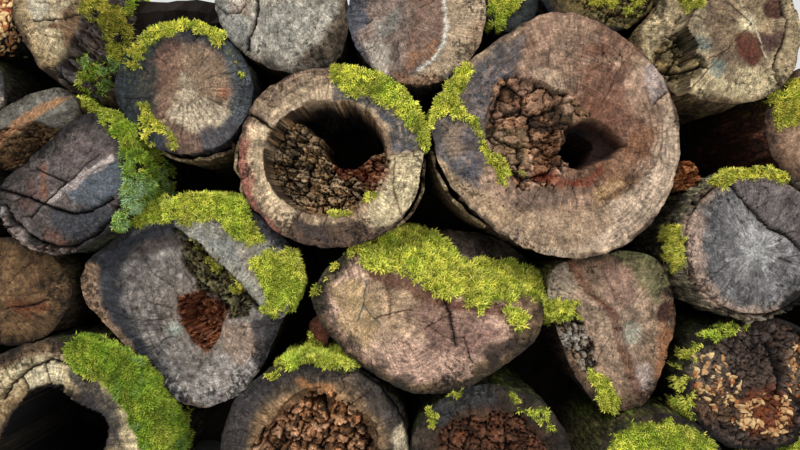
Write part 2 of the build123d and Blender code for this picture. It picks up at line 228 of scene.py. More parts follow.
# Weathered wood: the colour laid on the mesh, broken up by growth rings, rays and fibres where the
# end is sawn, by furrows where there is bark, by a green film in damp places and by grit everywhere
def weathered_wood():
    wood = Shader("weathered_wood", 0.82)
    grain = wood.nodes.new("ShaderNodeSeparateXYZ")
    wood.links.new(wood.value("grain").outputs["Vector"], grain.inputs[0])
    sawn = wood.value("sawn").outputs["Fac"]
    bark = wood.value("bark").outputs["Fac"]
    damp = wood.value("damp").outputs["Fac"]
    spots = wood.value("spots").outputs["Fac"]
    plain = wood.place()
    wander = wood.times(wood.noise(plain, 14, 2), 3.0)

    # Places that run round the heart and out from it
    def polar(turning, outwards):
        made = wood.nodes.new("ShaderNodeCombineXYZ")
        wood.links.new(wood.times(grain.outputs["X"], turning), made.inputs["X"])
        wood.links.new(wood.times(grain.outputs["Y"], turning), made.inputs["Y"])
        away = wood.plus(wood.times(grain.outputs["Z"], outwards), wander)
        wood.links.new(away, made.inputs["Z"])
        return made.outputs[0]

    # The patterns, each with its scale, detail and roughness
    rings = wood.noise(polar(4.0, 175.0), 1, 3, 0.65)
    smears = wood.noise(polar(15.0, 60.0), 1, 4, 0.7)
    rays = wood.noise(polar(34.0, 14.0), 1, 4, 0.75)
    furrows = wood.noise(wood.place((1, 0.13, 1)), 62, 5, 0.62)
    ridged = wood.maths("ABSOLUTE", wood.maths("SUBTRACT", furrows, 0.5))
    grit = wood.noise(wood.place((1, 0.3, 1)), 170, 4, 0.8)
    flecks = wood.noise(wood.place((1, 0.45, 1)), 390, 3, 0.7)
    cloud = wood.noise(plain, 30, 5, 0.65)

    # Bark splits into long plates with wavy borders
    bent = wood.nodes.new("ShaderNodeMixRGB")
    bent.inputs[0].default_value = 0.035
    wood.links.new(wood.place((1, 0.17, 1)), bent.inputs[1])
    wobble = wood.nodes.new("ShaderNodeTexNoise")
    wobble.inputs["Scale"].default_value = 40
    wood.links.new(plain, wobble.inputs["Vector"])
    wood.links.new(wobble.outputs["Color"], bent.inputs[2])
    plates = wood.clefts(bent.outputs[0], 52)

    # How a pattern darkens or lights one kind of surface
    def shading(pattern, where, low, high, start=0.3, end=0.7):
        return wood.plus(wood.times(wood.spread(pattern, low, high, start, end), where), 1.0)

    where_rings = wood.times(wood.spread(wood.noise(plain, 11, 3), 0.15, 1.0, 0.4, 0.58), sawn)
    where_rays = wood.times(wood.spread(wood.noise(plain, 9, 3), 1.0, 0.25, 0.42, 0.6), sawn)
    light = shading(rings, where_rings, -0.6, 0.3, 0.28, 0.64)
    for layer in (
        shading(rays, where_rays, -0.6, 0.5),
        shading(plates, bark, -0.6, 0.25, 0.0, 0.16),
        wood.spread(flecks, 0.7, 1.36, 0.36, 0.64),
        shading(smears, sawn, -0.4, 0.4),
        shading(ridged, bark, -0.62, 0.55, 0.0, 0.16),
        wood.spread(grit, 0.6, 1.44, 0.36, 0.64),
        wood.spread(cloud, 0.58, 1.42),
    ):
        light = wood.times(light, layer)
    mould = wood.noise(wood.place((1, 0.4, 1)), 105, 4, 0.7)
    patchy = wood.spread(wood.noise(plain, 14, 4), -0.14, 0.05, 0.4, 0.62)
    mould = wood.plus(wood.plus(mould, patchy), wood.times(spots, 0.12))
    mould = wood.spread(mould, 0, 1, 0.61, 0.69)
    light = wood.times(light, wood.spread(mould, 1.0, 0.25, 0, 1))
    film = wood.times(wood.spread(wood.noise(plain, 17, 5, 0.7), 0.0, 1.0, 0.42, 0.6), damp)
    colour = wood.mix(film, wood.value("tint").outputs["Color"], (86, 98, 34))
    wood.links.new(wood.lit(colour, light), wood.out.inputs["Base Color"])

    height = wood.times(wood.plus(rings, wood.times(rays, 1.6)), sawn)
    for layer in (
        wood.times(wood.times(ridged, 9.0), bark),
        wood.times(wood.spread(plates, 0.0, 1.6, 0.0, 0.14), bark),
        wood.times(grit, 2.0),
        wood.times(flecks, 0.8),
        wood.times(mould, -0.8),
    ):
        height = wood.plus(height, layer)
    wood.bumps(height, strength=0.8, distance=0.003)
    return wood.material


# Moss: yellow-green to grey-green, and brighter in clumps. Its blades are darker at the base and brighter
# at the tips, partly the paler young tips and partly painted light that makes up for the shade among the
# tufts.
def moss_growth():
    moss = Shader("moss", 0.7)
    shade = moss.value("shade").outputs["Fac"]
    hue = moss.value("hue").outputs["Fac"]
    tip = moss.value("tip").outputs["Fac"]
    bright = moss.mix(shade, (142, 158, 40), (255, 248, 118))
    green = moss.mix(shade, (84, 128, 30), (178, 206, 66))
    grey = moss.mix(shade, (106, 146, 92), (190, 210, 166))
    dull = moss.mix(shade, (104, 104, 34), (186, 164, 66))
    colour = moss.mix(moss.spread(hue, 0, 1, 0.0, 0.5), bright, green)
    colour = moss.mix(moss.spread(hue, 0, 1, 0.5, 1.0), colour, grey)
    colour = moss.mix(moss.spread(hue, 0, 1, 0.0, -1.0), colour, dull)
    # Painted light and shade: the base of each blade is darkened and the tip lifted above its colour.
    light = moss.times(moss.spread(tip, 0.4, 1.65, 0, 1), moss.value("clump").outputs["Fac"])
    moss.links.new(moss.lit(colour, light), moss.out.inputs["Base Color"])
    return moss.material


wood_material = weathered_wood()
moss_material = moss_growth()


# A small piece that is only copied, so it isn't placed in the scene itself
def small_piece(name, mesh, material):
    data = bpy.data.meshes.new(name)
    mesh.to_mesh(data)
    mesh.free()
    data.materials.append(material)
    return bpy.data.objects.new(name, data)


# A tuft of moss: three leaning pointed blades
def make_tuft():
    blade_long = 0.0085
    root = 0.001
    mesh = bmesh.new()
    tip = mesh.verts.layers.float.new("tip")
    for k in range(3):
        made = bmesh.ops.create_cone(
            mesh, segments=3, radius1=0.0017, radius2=0.0, depth=blade_long, cap_ends=False
        )
        for vert in made["verts"]:
            height = vert.co.z + blade_long / 2
            vert[tip] = 1.0 if height > blade_long / 2 else 0.0
            lean = 0.0036 if vert[tip] > 0.5 else 0.0009
            vert.co.x += lean * math.cos(k * 2.1)
            vert.co.y += lean * math.sin(k * 2.1)
            vert.co.z = height - root - 0.002 * k * vert[tip]
    bmesh.ops.remove_doubles(mesh, verts=mesh.verts, dist=1e-5)
    return small_piece("tuft", mesh, moss_material)


tuft = make_tuft()


# Sets copies of a small piece on the part of a skin where its mask is high, as one joined mesh
def strewn(name, skin, mask, small, density, scale, tilt, seed):
    tree = bpy.data.node_groups.new(name, "GeometryNodeTree")
    tree.interface.new_socket("Geometry", in_out="INPUT", socket_type="NodeSocketGeometry")
    tree.interface.new_socket("Geometry", in_out="OUTPUT", socket_type="NodeSocketGeometry")
    nodes, links = tree.nodes, tree.links
    source = nodes.new("NodeGroupInput")
    result = nodes.new("NodeGroupOutput")
    share = nodes.new("GeometryNodeInputNamedAttribute")
    share.data_type = "FLOAT"
    share.inputs["Name"].default_value = mask
    amount = nodes.new("ShaderNodeMapRange")
    amount.inputs["From Min"].default_value = 0.35
    amount.inputs["From Max"].default_value = 0.8
    amount.inputs["To Max"].default_value = density
    links.new(share.outputs["Attribute"], amount.inputs["Value"])
    spots = nodes.new("GeometryNodeDistributePointsOnFaces")
    spots.inputs["Seed"].default_value = seed
    links.new(source.outputs[0], spots.inputs["Mesh"])
    links.new(amount.outputs[0], spots.inputs["Density"])
    leaning = nodes.new("FunctionNodeRandomValue")
    leaning.data_type = "FLOAT_VECTOR"
    leaning.inputs["Min"].default_value = (-tilt, -tilt, 0)
    leaning.inputs["Max"].default_value = (tilt, tilt, 6.28)
    leaning.inputs["Seed"].default_value = seed + 1
    turned = nodes.new("FunctionNodeRotateRotation")
    turned.rotation_space = "LOCAL"
    links.new(spots.outputs["Rotation"], turned.inputs[0])
    links.new(leaning.outputs[0], turned.inputs[1])
    sized = nodes.new("FunctionNodeRandomValue")
    sized.data_type = "FLOAT"
    sized.inputs[2].default_value = scale[0]
    sized.inputs[3].default_value = scale[1]
    sized.inputs["Seed"].default_value = seed + 2
    shade = nodes.new("FunctionNodeRandomValue")
    shade.data_type = "FLOAT"
    shade.inputs["Seed"].default_value = seed + 3
    keep = nodes.new("GeometryNodeStoreNamedAttribute")
    keep.data_type = "FLOAT"
    keep.domain = "POINT"
    keep.inputs["Name"].default_value = "shade"
    links.new(spots.outputs["Points"], keep.inputs["Geometry"])
    links.new(shade.outputs[1], keep.inputs["Value"])
    model = nodes.new("GeometryNodeObjectInfo")
    model.inputs["Object"].default_value = small
    copies = nodes.new("GeometryNodeInstanceOnPoints")
    links.new(keep.outputs[0], copies.inputs["Points"])
    links.new(model.outputs["Geometry"], copies.inputs["Instance"])
    links.new(turned.outputs[0], copies.inputs["Rotation"])
    links.new(sized.outputs[1], copies.inputs["Scale"])
    solid = nodes.new("GeometryNodeRealizeInstances")
    links.new(copies.outputs[0], solid.inputs[0])
    links.new(solid.outputs[0], result.inputs[0])

    bearer = bpy.data.objects.new(name + "_bearer", skin.data)
    bpy.context.scene.collection.objects.link(bearer)
    bearer.modifiers.new("grow", "NODES").node_group = tree
    grown = bearer.evaluated_get(bpy.context.evaluated_depsgraph_get())
    mesh = bpy.data.meshes.new_from_object(grown)
    bpy.data.objects.remove(bearer)
    bpy.data.node_groups.remove(tree)
    mesh.name = name
    piece = bpy.data.objects.new(name, mesh)
    bpy.context.scene.collection.objects.link(piece)
    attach(piece, "root")
    return piece


# One value or more for each vertex, edge or face of a mesh
def values_of(rows, field, width=1, kind=float):
    flat = np.zeros(len(rows) * width, kind)
    rows.foreach_get(field, flat)
    return flat.reshape(-1, width) if width > 1 else flat


# Lays a colour and other values on the vertices of a mesh, for its material
def store(mesh, tint, **values):
    rgba = np.concatenate((tint, np.ones((len(tint), 1))), 1)
    mesh.attributes.new("tint", "FLOAT_COLOR", "POINT").data.foreach_set("color", rgba.ravel())
    for name, value in values.items():
        kind, field = ("FLOAT_VECTOR", "vector") if np.ndim(value) == 2 else ("FLOAT", "value")
        value = value if np.ndim(value) else np.full(len(tint), float(value))
        mesh.attributes.new(name, kind, "POINT").data.foreach_set(field, value.ravel())


# A log: a sheet is rolled round the log's solid, drawn in over both ends to the heart and closed,
# then roughened and coloured from its end to its bark
class Log:
    def __init__(self, name, around, step, rows, heart=None, bulge=()):
        self.name = name
        rear_rings = 4
        row_growth = 1.33
        rim_share = 0.985
        inner_share = 0.6
        flare_long = 0.08
        self.low, self.high = (np.array(corner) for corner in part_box(name))
        solid = bmesh.new()
        solid.from_mesh(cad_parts[name].data)
        self.tree = BVHTree.FromBMesh(solid)
        solid.free()
        around = round(around * fine)
        middle = (self.low + self.high)[::2] / 2

        # The solid's outline near its back, seen from the front
        outline = []
        for k in range(around):
            turn = 2 * math.pi * k / around
            way = Vector((math.cos(turn), 0, math.sin(turn)))
            start = Vector((middle[0], self.high[1] - 0.05, middle[1])) + way
            hit = self.tree.ray_cast(start, -way)[0]
            outline.append((hit.x, hit.z))
        outline = np.array(outline)
        self.heart = middle
        if heart is not None:
            away = (self.low[1] - eye[1]) / view_steps
            across, down = heart[0] - view_middle[0], heart[1] - view_middle[1]
            self.heart = np.array((eye[0] + across * away, eye[2] - down * away))
        self.heart_seen = seen_at(np.array([[self.heart[0], self.low[1], self.heart[1]]]))[0]
        self.radius = radius = np.hypot(*(outline - self.heart).T).mean()
        rings = max(8, round(radius / step * fine))
        shares = [0.0]
        for k in range(rows):
            shares.append(shares[-1] + row_growth**k)
        profile = [(FRONT, k / rings, 0) for k in range(rings + 1)]
        profile += [(SIDE, 1, share / shares[-1]) for share in shares[1:-1]]
        profile += [(BACK, 1 - k / rear_rings, 1) for k in range(rear_rings + 1)]

        # The sheet's columns run along the log, its rows run round it
        sheet = bmesh.new()
        bmesh.ops.create_grid(sheet, x_segments=around, y_segments=len(profile) - 1, size=0.5)
        column = sheet.verts.layers.int.new("column")
        row = sheet.verts.layers.int.new("row")
        inside_rim = self.heart + (outline - self.heart) * rim_share
        rim_y = np.array([self.front(x, z) for x, z in inside_rim])
        swell = np.zeros(around)
        rim_seen = seen_at(np.stack((outline[:, 0], rim_y, outline[:, 1]), 1))
        for spot, size, width in bulge:
            swell += size * np.exp(-(((rim_seen - np.array(spot)) ** 2).sum(1) / width**2))
        for vert in sheet.verts:
            j = round((vert.co.x + 0.5) * around) % around
            i = round((vert.co.y + 0.5) * (len(profile) - 1))
            vert[column] = j
            vert[row] = i
            kind, share, along = profile[i]
            x, z = self.heart + (outline[j] - self.heart) * share
            if kind == FRONT:
                y = rim_y[j] if share > rim_share else self.front(x, z)
            else:
                y = rim_y[j] + (self.high[1] - rim_y[j]) * along
            way = (outline[j] - self.heart) / np.linalg.norm(outline[j] - self.heart)
            flare = share**4 * max(0.0, 1 - (y - rim_y[j]) / flare_long) * (kind != BACK)
            x, z = (x, z) + way * swell[j] * flare
            vert.co = (x, y, z)
        bmesh.ops.remove_doubles(sheet, verts=sheet.verts, dist=1e-5)
        ends = [vert for vert in sheet.verts if profile[vert[row]][0] != SIDE]
        inner = [vert for vert in ends if profile[vert[row]][1] < inner_share]
        bmesh.ops.remove_doubles(sheet, verts=inner, dist=0.55 * step)
        bmesh.ops.recalc_face_normals(sheet, faces=sheet.faces)
        for face in sheet.faces:
            face.smooth = True
        for edge in sheet.edges:
            if {vert[row] for vert in edge.verts} in ({rings}, {rings + rows}):
                edge.smooth = False
        self.mesh = mesh = bpy.data.meshes.new(name + "_skin")
        sheet.to_mesh(mesh)
        sheet.free()

        # Where each vertex lies: on which end or side, how far out and how far back
        count = len(mesh.vertices)
        self.co = values_of(mesh.vertices, "co", 3)
        self.normals = values_of(mesh.vertex_normals, "vector", 3)
        rows_of = values_of(mesh.attributes["row"].data, "value", kind=np.int32)
        columns_of = values_of(mesh.attributes["column"].data, "value", kind=np.int32)
        profile = np.array(profile)
        self.kind = profile[rows_of, 0]
        self.share = profile[rows_of, 1]
        angle = 2 * math.pi * columns_of / around
        rim = outline[columns_of]
        reach = np.hypot(*(rim - self.heart).T)
        ring = self.share * (0.35 * reach + 0.65 * radius)
        self.grain = np.stack((np.cos(angle), np.sin(angle), ring), 1)
        self.base = self.co.copy()
        self.seen = seen_at(self.base)
        self.behind = self.base[:, 1] - rim_y[columns_of]

        # How far each vertex at the end stands in front of its deepest neighbour
        pairs = values_of(mesh.edges, "vertices", 2, np.int32)
        depth = np.where(self.kind == FRONT, self.behind, -9.0)
        deepest = depth.copy()
        np.maximum.at(deepest, pairs[:, 0], depth[pairs[:, 1]])
        np.maximum.at(deepest, pairs[:, 1], depth[pairs[:, 0]])
        self.brink = np.where(self.kind == FRONT, deepest - depth, 0)
        towards = eye - self.base
        self.faces_eye = np.einsum("ij,ij->i", self.normals, towards) > -0.05

        # What the material and what grows on the log will read
        self.tint = np.zeros((count, 3))
        self.sawn = np.where(self.kind == SIDE, 0.0, 1.0)
        self.rind = np.where(self.kind == SIDE, 1.0, 0.0)
        self.damp = np.zeros(count)
        self.moss = np.zeros(count)
        self.hue = np.zeros(count)
        self.clump = np.ones(count)
        self.fungus = np.zeros(count)
        self.crumble = np.zeros(count)
        self.spots = np.where(self.kind == FRONT, soft_step(self.share, 0.55, 0.97), 0.6)
        self.seed = sum(ord(letter) for letter in name)
        self.outward = np.stack((rim[:, 0] - middle[0], np.zeros(count), rim[:, 1] - middle[1]), 1)
        self.outward /= np.linalg.norm(self.outward, axis=1)[:, None]

    # How far back the solid's end stands
    def front(self, x, z):
        hit = self.tree.ray_cast(Vector((x, self.low[1] - 0.1, z)), Vector((0, 1, 0)))[0]
        return hit.y if hit else self.low[1]

    # Lumps that are this log's own
    def lumps(self, size, seed=0, octaves=3):
        return lumps(self.base, np.array(size), self.seed + seed, octaves)

    # A patch with a ragged edge, given by its outline in the front view
    def patch(self, line, soft=2.5, ragged=4, size=0.03, seed=1, everywhere=False):
        inside = depth_inside(self.seen, line)
        mask = soft_step(inside + ragged * self.lumps(size, seed), -soft, soft)
        return mask * (self.faces_eye & (self.kind != BACK) if everywhere else self.kind == FRONT)

    # Lays a colour where the mask is high
    def colour(self, mask, colour, strength=1.0):
        share = np.clip(mask * strength, 0, 1)[:, None]
        self.tint = self.tint * (1 - share) + paint(colour) * share

    # Colours from the heart to the rim, with wandering borders
    def ringed(self, *stops, wander=0.05):
        share = self.share + wander * self.lumps(0.05, 3) + 0.4 * wander * self.lumps(0.012, 4)
        places = [stop[0] for stop in stops]
        for channel in range(3):
            values = [paint(stop[1:])[channel] for stop in stops]
            self.tint[:, channel] = np.interp(share, places, values)
        mottle = 1 + 0.3 * self.lumps(0.035, 5) + 0.48 * self.lumps(0.011, 6, 2)
        self.tint *= np.clip(mottle, 0.3, 1.8)[:, None]

    # Furrowed bark, damp and green on its upper side
    def bark(self, colour=(62, 52, 46), ridge=0.005, green=0.7):
        side = self.kind == SIDE
        ring = np.stack((self.grain[:, 0], self.base[:, 1] * 0.16 / self.radius, self.grain[:, 1]), 1)
        furrow = lumps(ring * self.radius, 0.018, self.seed + 11, 3)
        swell = self.lumps((0.12, 0.4, 0.12), 12, 2)
        rise = np.where(side, ridge * (np.abs(furrow) * 1.6 - 1.0) + 0.004 * swell, 0)
        self.co += self.outward * rise[:, None]
        patchy = self.lumps((0.05, 0.12, 0.05), 13)
        base = paint(colour) * np.clip(1.15 + 0.4 * patchy + 0.45 * furrow, 0.25, 2.4)[:, None]
        self.tint = np.where(side[:, None], base, self.tint)
        up = soft_step(self.outward[:, 2] + 0.3 * patchy, -0.1, 0.8)
        self.damp = np.where(side, up * green, self.damp)

    # The rim of the sawn end is worn and uneven
    def wear(self, rough=0.0016, rim=0.003):
        way = np.where(self.kind == FRONT, -1.0, 1.0)
        lift = rough * (self.lumps(0.02, 21) + 1.5 * self.lumps(0.09, 22) + 0.5 * self.lumps(0.008, 24, 1))
        edge = soft_step(self.share, 0.95, 1.0) ** 2 * np.clip(0.4 + self.lumps(0.03, 25), 0, 2)
        self.co[:, 1] += way * np.where(self.kind != SIDE, lift - rim * edge, 0)
        jag = self.lumps(0.025, 23) * rim
        self.co += self.outward * (jag * (self.share > 0.9))[:, None]

    # A split along a run of places, its width in view steps and its depth in metres
    def crack(self, run, wide=1.1, deep=0.01, dark=(16, 12, 10), strength=0.95):
        for (ax, ay), (bx, by) in zip(run, run[1:]):
            ex, ey = bx - ax, by - ay
            size = math.hypot(ex, ey)
            nx, ny = -ey / size, ex / size
            px, py = self.seen[:, 0] - ax, self.seen[:, 1] - ay
            share = (px * ex + py * ey) / size**2
            off = px * nx + py * ny + 1.1 * self.lumps(0.018, 31, 2)
            on = (self.kind == FRONT) & (share > -0.04) & (share < 1.04) & (np.abs(off) < 3)
            shift = np.where(on, -np.clip(off, -1.0, 1.0) * 0.85, 0)
            scale = (self.base[:, 1] - eye[1]) / view_steps
            self.co[:, 0] += shift * nx * scale
            self.co[:, 2] -= shift * ny * scale
            left = np.abs(np.where(on, off + shift, 9.0))
            mask = soft_step(-left, -wide * 1.3, -wide * 0.35)
            self.co[:, 1] += deep * mask
            self.colour(mask, dark, strength)

    # Moss swells over the wood like a cushion
    def mossy(self, line, thick=0.006, hue=0.0, ragged=4, cover=1.0, glow=1.0):
        mask = self.patch(line, soft=2.0, ragged=ragged, size=0.022, seed=71, everywhere=True)
        mask = mask * ((self.kind == SIDE) | (self.behind < 0.05))
        if cover < 1:
            mask = mask * soft_step(self.lumps(0.02, 72), 0.45 - cover, 0.75 - cover)
        lift = mask * (thick + 0.5 * thick * self.lumps(0.02, 51) + 0.3 * thick * self.lumps(0.008, 52))
        self.co += self.normals * lift[:, None]
        shade = np.clip(0.75 + 0.5 * self.lumps(0.02, 53), 0.25, 2)[:, None]
        share = mask[:, None]
        self.tint = self.tint * (1 - share) + paint((128, 142, 40)) * shade * share
        self.sawn = self.sawn * (1 - mask)
        self.rind = self.rind * (1 - mask)
        self.damp = self.damp * (1 - mask)
        self.spots = self.spots * (1 - mask)
        self.crumble = self.crumble * (1 - mask)
        drift = hue + 0.28 * self.lumps(0.045, 54) + 0.12 * self.lumps(0.015, 55)
        self.hue = np.where(mask > 0.05, drift, self.hue)
        clump = glow * np.clip(1 + 0.3 * self.lumps(0.03, 56) + 0.3 * self.lumps(0.011, 57, 2), 0.35, 1.5)
        self.clump = np.where(mask > 0.05, clump, self.clump)
        self.moss = np.maximum(self.moss, mask * (1 - 0.8 * soft_step(self.behind, 0.08, 0.4)))

    # Sets the skin in the scene in place of the log's solid, and grows moss on it
    def finish(self, tufts=0, scale=(0.7, 1.5)):
        mesh = self.mesh
        mesh.vertices.foreach_set("co", self.co.ravel())
        store(
            mesh, np.clip(self.tint, 0.001, 1), grain=self.grain, sawn=self.sawn, bark=self.rind,
            damp=self.damp, spots=self.spots, moss=self.moss, hue=self.hue, clump=self.clump,
            fungus=self.fungus,
        )
        corners = values_of(mesh.loops, "vertex_index", kind=np.int32)
        starts = values_of(mesh.polygons, "loop_start", kind=np.int32)
        crumbly = np.maximum.reduceat(self.crumble[corners], starts)
        mesh.polygons.foreach_set("use_smooth", crumbly < 0.5)
        mesh.attributes.remove(mesh.attributes["row"])
        mesh.attributes.remove(mesh.attributes["column"])
        mesh.update()
        mesh.materials.append(wood_material)
        piece = bpy.data.objects.new(self.name + "_skin", mesh)
        bpy.context.scene.collection.objects.link(piece)
        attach(piece, "root")
        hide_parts(self.name)
        if tufts:
            strewn(self.name + "_moss", piece, "moss", tuft, tufts * fine, scale, 0.7, self.seed)
        return piece


for name, tone in (
    ("ground_log_left_end", (146, 122, 98)), ("ground_log_left", (126, 106, 90)),
    ("ground_log_right_end", (138, 118, 98)), ("pole", (150, 124, 92)),
    ("second_row_log_left", (132, 112, 98)), ("second_row_log_right", (150, 128, 104)),
    ("third_row_log_left", (120, 104, 92)), ("third_row_log_right", (142, 116, 92)),
):
    log = Log(name, around=84, step=0.008, rows=10)
    heart_tone, rim_tone = ([share * c for c in tone] for share in (0.8, 0.9))
    log.ringed((0, *heart_tone), (0.5, *tone), (0.86, *rim_tone), (0.94, 66, 58, 52), (1, 44, 40, 36))
    log.wear()
    log.bark()
    across, down = log.heart_seen
    size = 0.8 * log.radius / front_step
    for k in range(4):
        turn = log.seed + 1.7 * k
        rim_place = (across + size * math.cos(turn), down + size * math.sin(turn))
        log.crack([(across, down), rim_place], wide=0.9, deep=0.006, dark=(50, 40, 34))
    top = [(-1, -0.4), (-0.5, -1.1), (0.5, -1.3), (1, -0.5), (0.3, -0.85)]
    log.mossy([(across + x * size, down + y * size) for x, y in top], thick=0.007, cover=0.8)
    log.finish(tufts=9000)


# Hollow ground log: a broken shell of cream wood round a hollow whose walls are painted near-black as
# shade, in furrowed bark. The heart has rotted away, thick moss grows down the right side, and the log lies
# in the bottom row.


# A closed oval line
def oval(across, down, wide, high, turn=0):
    c, s = math.cos(math.radians(turn)), math.sin(math.radians(turn))
    line = []
    for k in range(14):
        x, y = wide * math.cos(k * math.pi / 7), high * math.sin(k * math.pi / 7)
        line.append((across + x * c - y * s, down + x * s + y * c))
    return line


# A stain on the sawn end, given by its outline. Speckle lets the wood show through in small spots.
def stain(log, line, colour, strength, soft=3.0, ragged=5.0, speckle=0.0):
    mask = log.patch(line, soft, ragged, seed=len(line) + int(line[0][0]))
    if speckle:
        mask = mask * (1 - speckle * soft_step(log.lumps(0.007, 61), -0.35, 0.35))
    log.colour(mask, colour, strength)


# Fine drying checks run out from the heart
def checks(log, number, strength):
    inner, outer = 0.3, 0.95
    across, down = log.heart_seen
    size = log.radius / (log.low[1] - eye[1]) * view_steps
    for k in range(number):
        chance = hashed(np.array([k]), np.array([3]), np.array([7]), log.seed)[0]
        turn = 2 * math.pi * (k + 0.8 * chance) / number
        start = inner + 0.4 * chance
        stop = outer - 0.35 * (1 - chance) * (k % 2)
        run = []
        for step in range(4):
            away = size * (start + (stop - start) * step / 3)
            bend = turn + 0.05 * math.sin(7 * chance + 2 * step)
            run.append((across + away * math.cos(bend), down + away * math.sin(bend)))
        log.crack(run, wide=0.55, deep=0.003, dark=(44, 34, 28), strength=strength)


# Blocks of the given size: a chance value for each block and the distance to its edge
def blocks(points, size, turn, seed):
    c, s = math.cos(math.radians(turn)), math.sin(math.radians(turn))
    across = (points[:, 0] * c + points[:, 2] * s) / size[0]
    up = (points[:, 2] * c - points[:, 0] * s) / size[1]
    cell_x, cell_z = np.floor(across).astype(np.int64), np.floor(up).astype(np.int64)
    nearest = np.full(len(points), 9.0)
    second = np.full(len(points), 9.0)
    chance = np.zeros(len(points))
    for dx in (-1, 0, 1):
        for dz in (-1, 0, 1):
            nx, nz = cell_x + dx, cell_z + dz
            off_x = np.abs(across - nx - 0.15 - 0.7 * hashed(nx, nz, 0, seed))
            off_z = np.abs(up - nz - 0.15 - 0.7 * hashed(nx, nz, 0, seed + 5))
            far = 0.75 * np.maximum(off_x, off_z) + 0.25 * (off_x + off_z)
            closer = far < nearest
            second = np.where(closer, nearest, np.minimum(second, far))
            chance = np.where(closer, hashed(nx, nz, 0, seed + 9), chance)
            nearest = np.where(closer, far, nearest)
    return chance, second - nearest


# Brown rot breaks the wood into clods and little blocks with clefts between them. The clods and blocks that
# sink deeper are painted darker and the clefts near-black, as painted shade; their tones also differ at
# random.
def rot(log, mask, size, deep, dark, light, turn=0, seed=41):
    mask = np.asarray(mask, float)
    warp = log.base + 0.009 * np.stack([log.lumps(0.05, seed + k) for k in range(3)], 1)
    warp = warp + 0.003 * np.stack([log.lumps(0.012, seed + k + 20) for k in range(3)], 1)
    clod, clod_edge = blocks(warp, (size[0] * 2.1, size[1] * 2.5), turn - 14, log.seed + seed + 6)
    chance, edge = blocks(warp, size, turn, log.seed + seed)
    small, small_edge = blocks(warp, (size[0] * 0.45, size[1] * 0.5), turn + 9, log.seed + seed + 3)
    cleft = 1 - soft_step(clod_edge, 0.02, 0.11)
    split = 1 - soft_step(edge, 0.02, 0.15)
    nick = 1 - soft_step(small_edge, 0.04, 0.22)
    depth = 1.5 * (clod - 0.5) + 0.8 * (chance - 0.5) + 1.5 * cleft + 0.9 * split
    depth = depth + 0.4 * (small - 0.5) + 0.25 * nick
    log.co[:, 1] += mask * deep * depth
    # Painted shade: deeper clods and blocks are darker, clefts and splits near-black.
    share = 0.5 + 0.45 * (0.5 - clod) + 0.6 * (0.5 - chance) + 0.7 * (small - 0.45)
    share = np.clip(share, 0.05, 1.5) * (1 - 0.95 * cleft) * (1 - 0.8 * split) * (1 - 0.4 * nick)
    shade = paint(dark) * (1 - share[:, None]) + paint(light) * share[:, None]
    shade = shade * (1 + 0.5 * (chance[:, None] - 0.5) * np.array((0.6, 0.1, -0.6)))
    log.tint = log.tint * (1 - mask[:, None]) + np.clip(shade, 0.002, 1) * mask[:, None]
    log.sawn = log.sawn * (1 - mask)
    log.spots = log.spots * (1 - mask)
    log.crumble = np.maximum(log.crumble, mask)


log = Log("hollow_ground_log", around=270, step=0.0042, rows=16, heart=(50, 442))
log.ringed(
    (0, 26, 20, 17), (0.5, 60, 46, 36), (0.6, 190, 170, 130), (0.82, 206, 188, 148), (0.9, 120, 96, 72),
    (1, 60, 50, 42),
)
log.wear(rough=0.003, rim=0.004)
checks(log, 9, strength=0.6)
log.bark((66, 58, 50), ridge=0.007, green=0.9)
stain(
    log, [(66, 374), (76, 366), (100, 384), (120, 412), (124, 450), (100, 450), (98, 426), (84, 398)],
    (58, 56, 58), 0.95, speckle=0.15,
)
stain(
    log, [(20, 372), (44, 362), (62, 370), (66, 388), (50, 384), (28, 392)], (214, 202, 168), 0.7,
    speckle=0.25,
)
stain(log, [(0, 392), (20, 380), (24, 400), (6, 420), (-6, 420)], (150, 118, 82), 0.7, speckle=0.4)
shaded_hole = log.patch(
    [(0, 446), (6, 424), (18, 406), (30, 390), (46, 385), (60, 389), (66, 402), (80, 416), (96, 430),
     (104, 470), (60, 500), (0, 480)], soft=1.5, ragged=4,
)
# The hole is painted near-black: painted shade in the hollow.
log.colour(shaded_hole, (9, 7, 6), 0.97)
# The rot inside the hollow is painted nearly black and dark brown, as painted shade.
rot(
    log, shaded_hole * soft_step(-log.behind, -0.1, -0.02), (0.03, 0.012), deep=0.01, dark=(10, 8, 7),
    light=(40, 30, 22),
)
# Painted shade: the walls that fall back behind the end, and the brink of the hollow, are painted
# near-black.
log.colour(soft_step(log.behind, 0.0, 0.04) * (log.kind == FRONT), (8, 6, 6), 0.98)
log.colour(soft_step(log.brink, 0.02, 0.06), (9, 7, 6), 0.97)
log.crack([(20, 374), (26, 386), (30, 396)], wide=1.0, deep=0.008, dark=(70, 52, 36))
log.crack([(44, 364), (47, 374), (50, 384)], wide=0.9, deep=0.006, dark=(90, 68, 46))
stain(log, oval(68, 404, 6, 7), (170, 162, 156), 0.7, soft=1.5, ragged=3)
log.crack(
    [(2, 400), (12, 384), (30, 368), (50, 360), (70, 366), (90, 380)], wide=1.6, deep=0.012,
    dark=(30, 22, 16),
)
log.mossy(
    [(67, 346), (84, 335), (104, 346), (130, 356), (144, 362), (164, 380), (178, 400), (184, 430),
     (186, 455), (146, 455), (137, 428), (123, 404), (111, 389), (96, 377), (78, 368), (68, 358)],
    thick=0.012, hue=0.42, glow=0.74,
)
log.mossy([(100, 338), (124, 342), (128, 352), (108, 350)], thick=0.004, hue=0.4, cover=0.5)
log.finish(tufts=52000, scale=(0.8, 1.6))


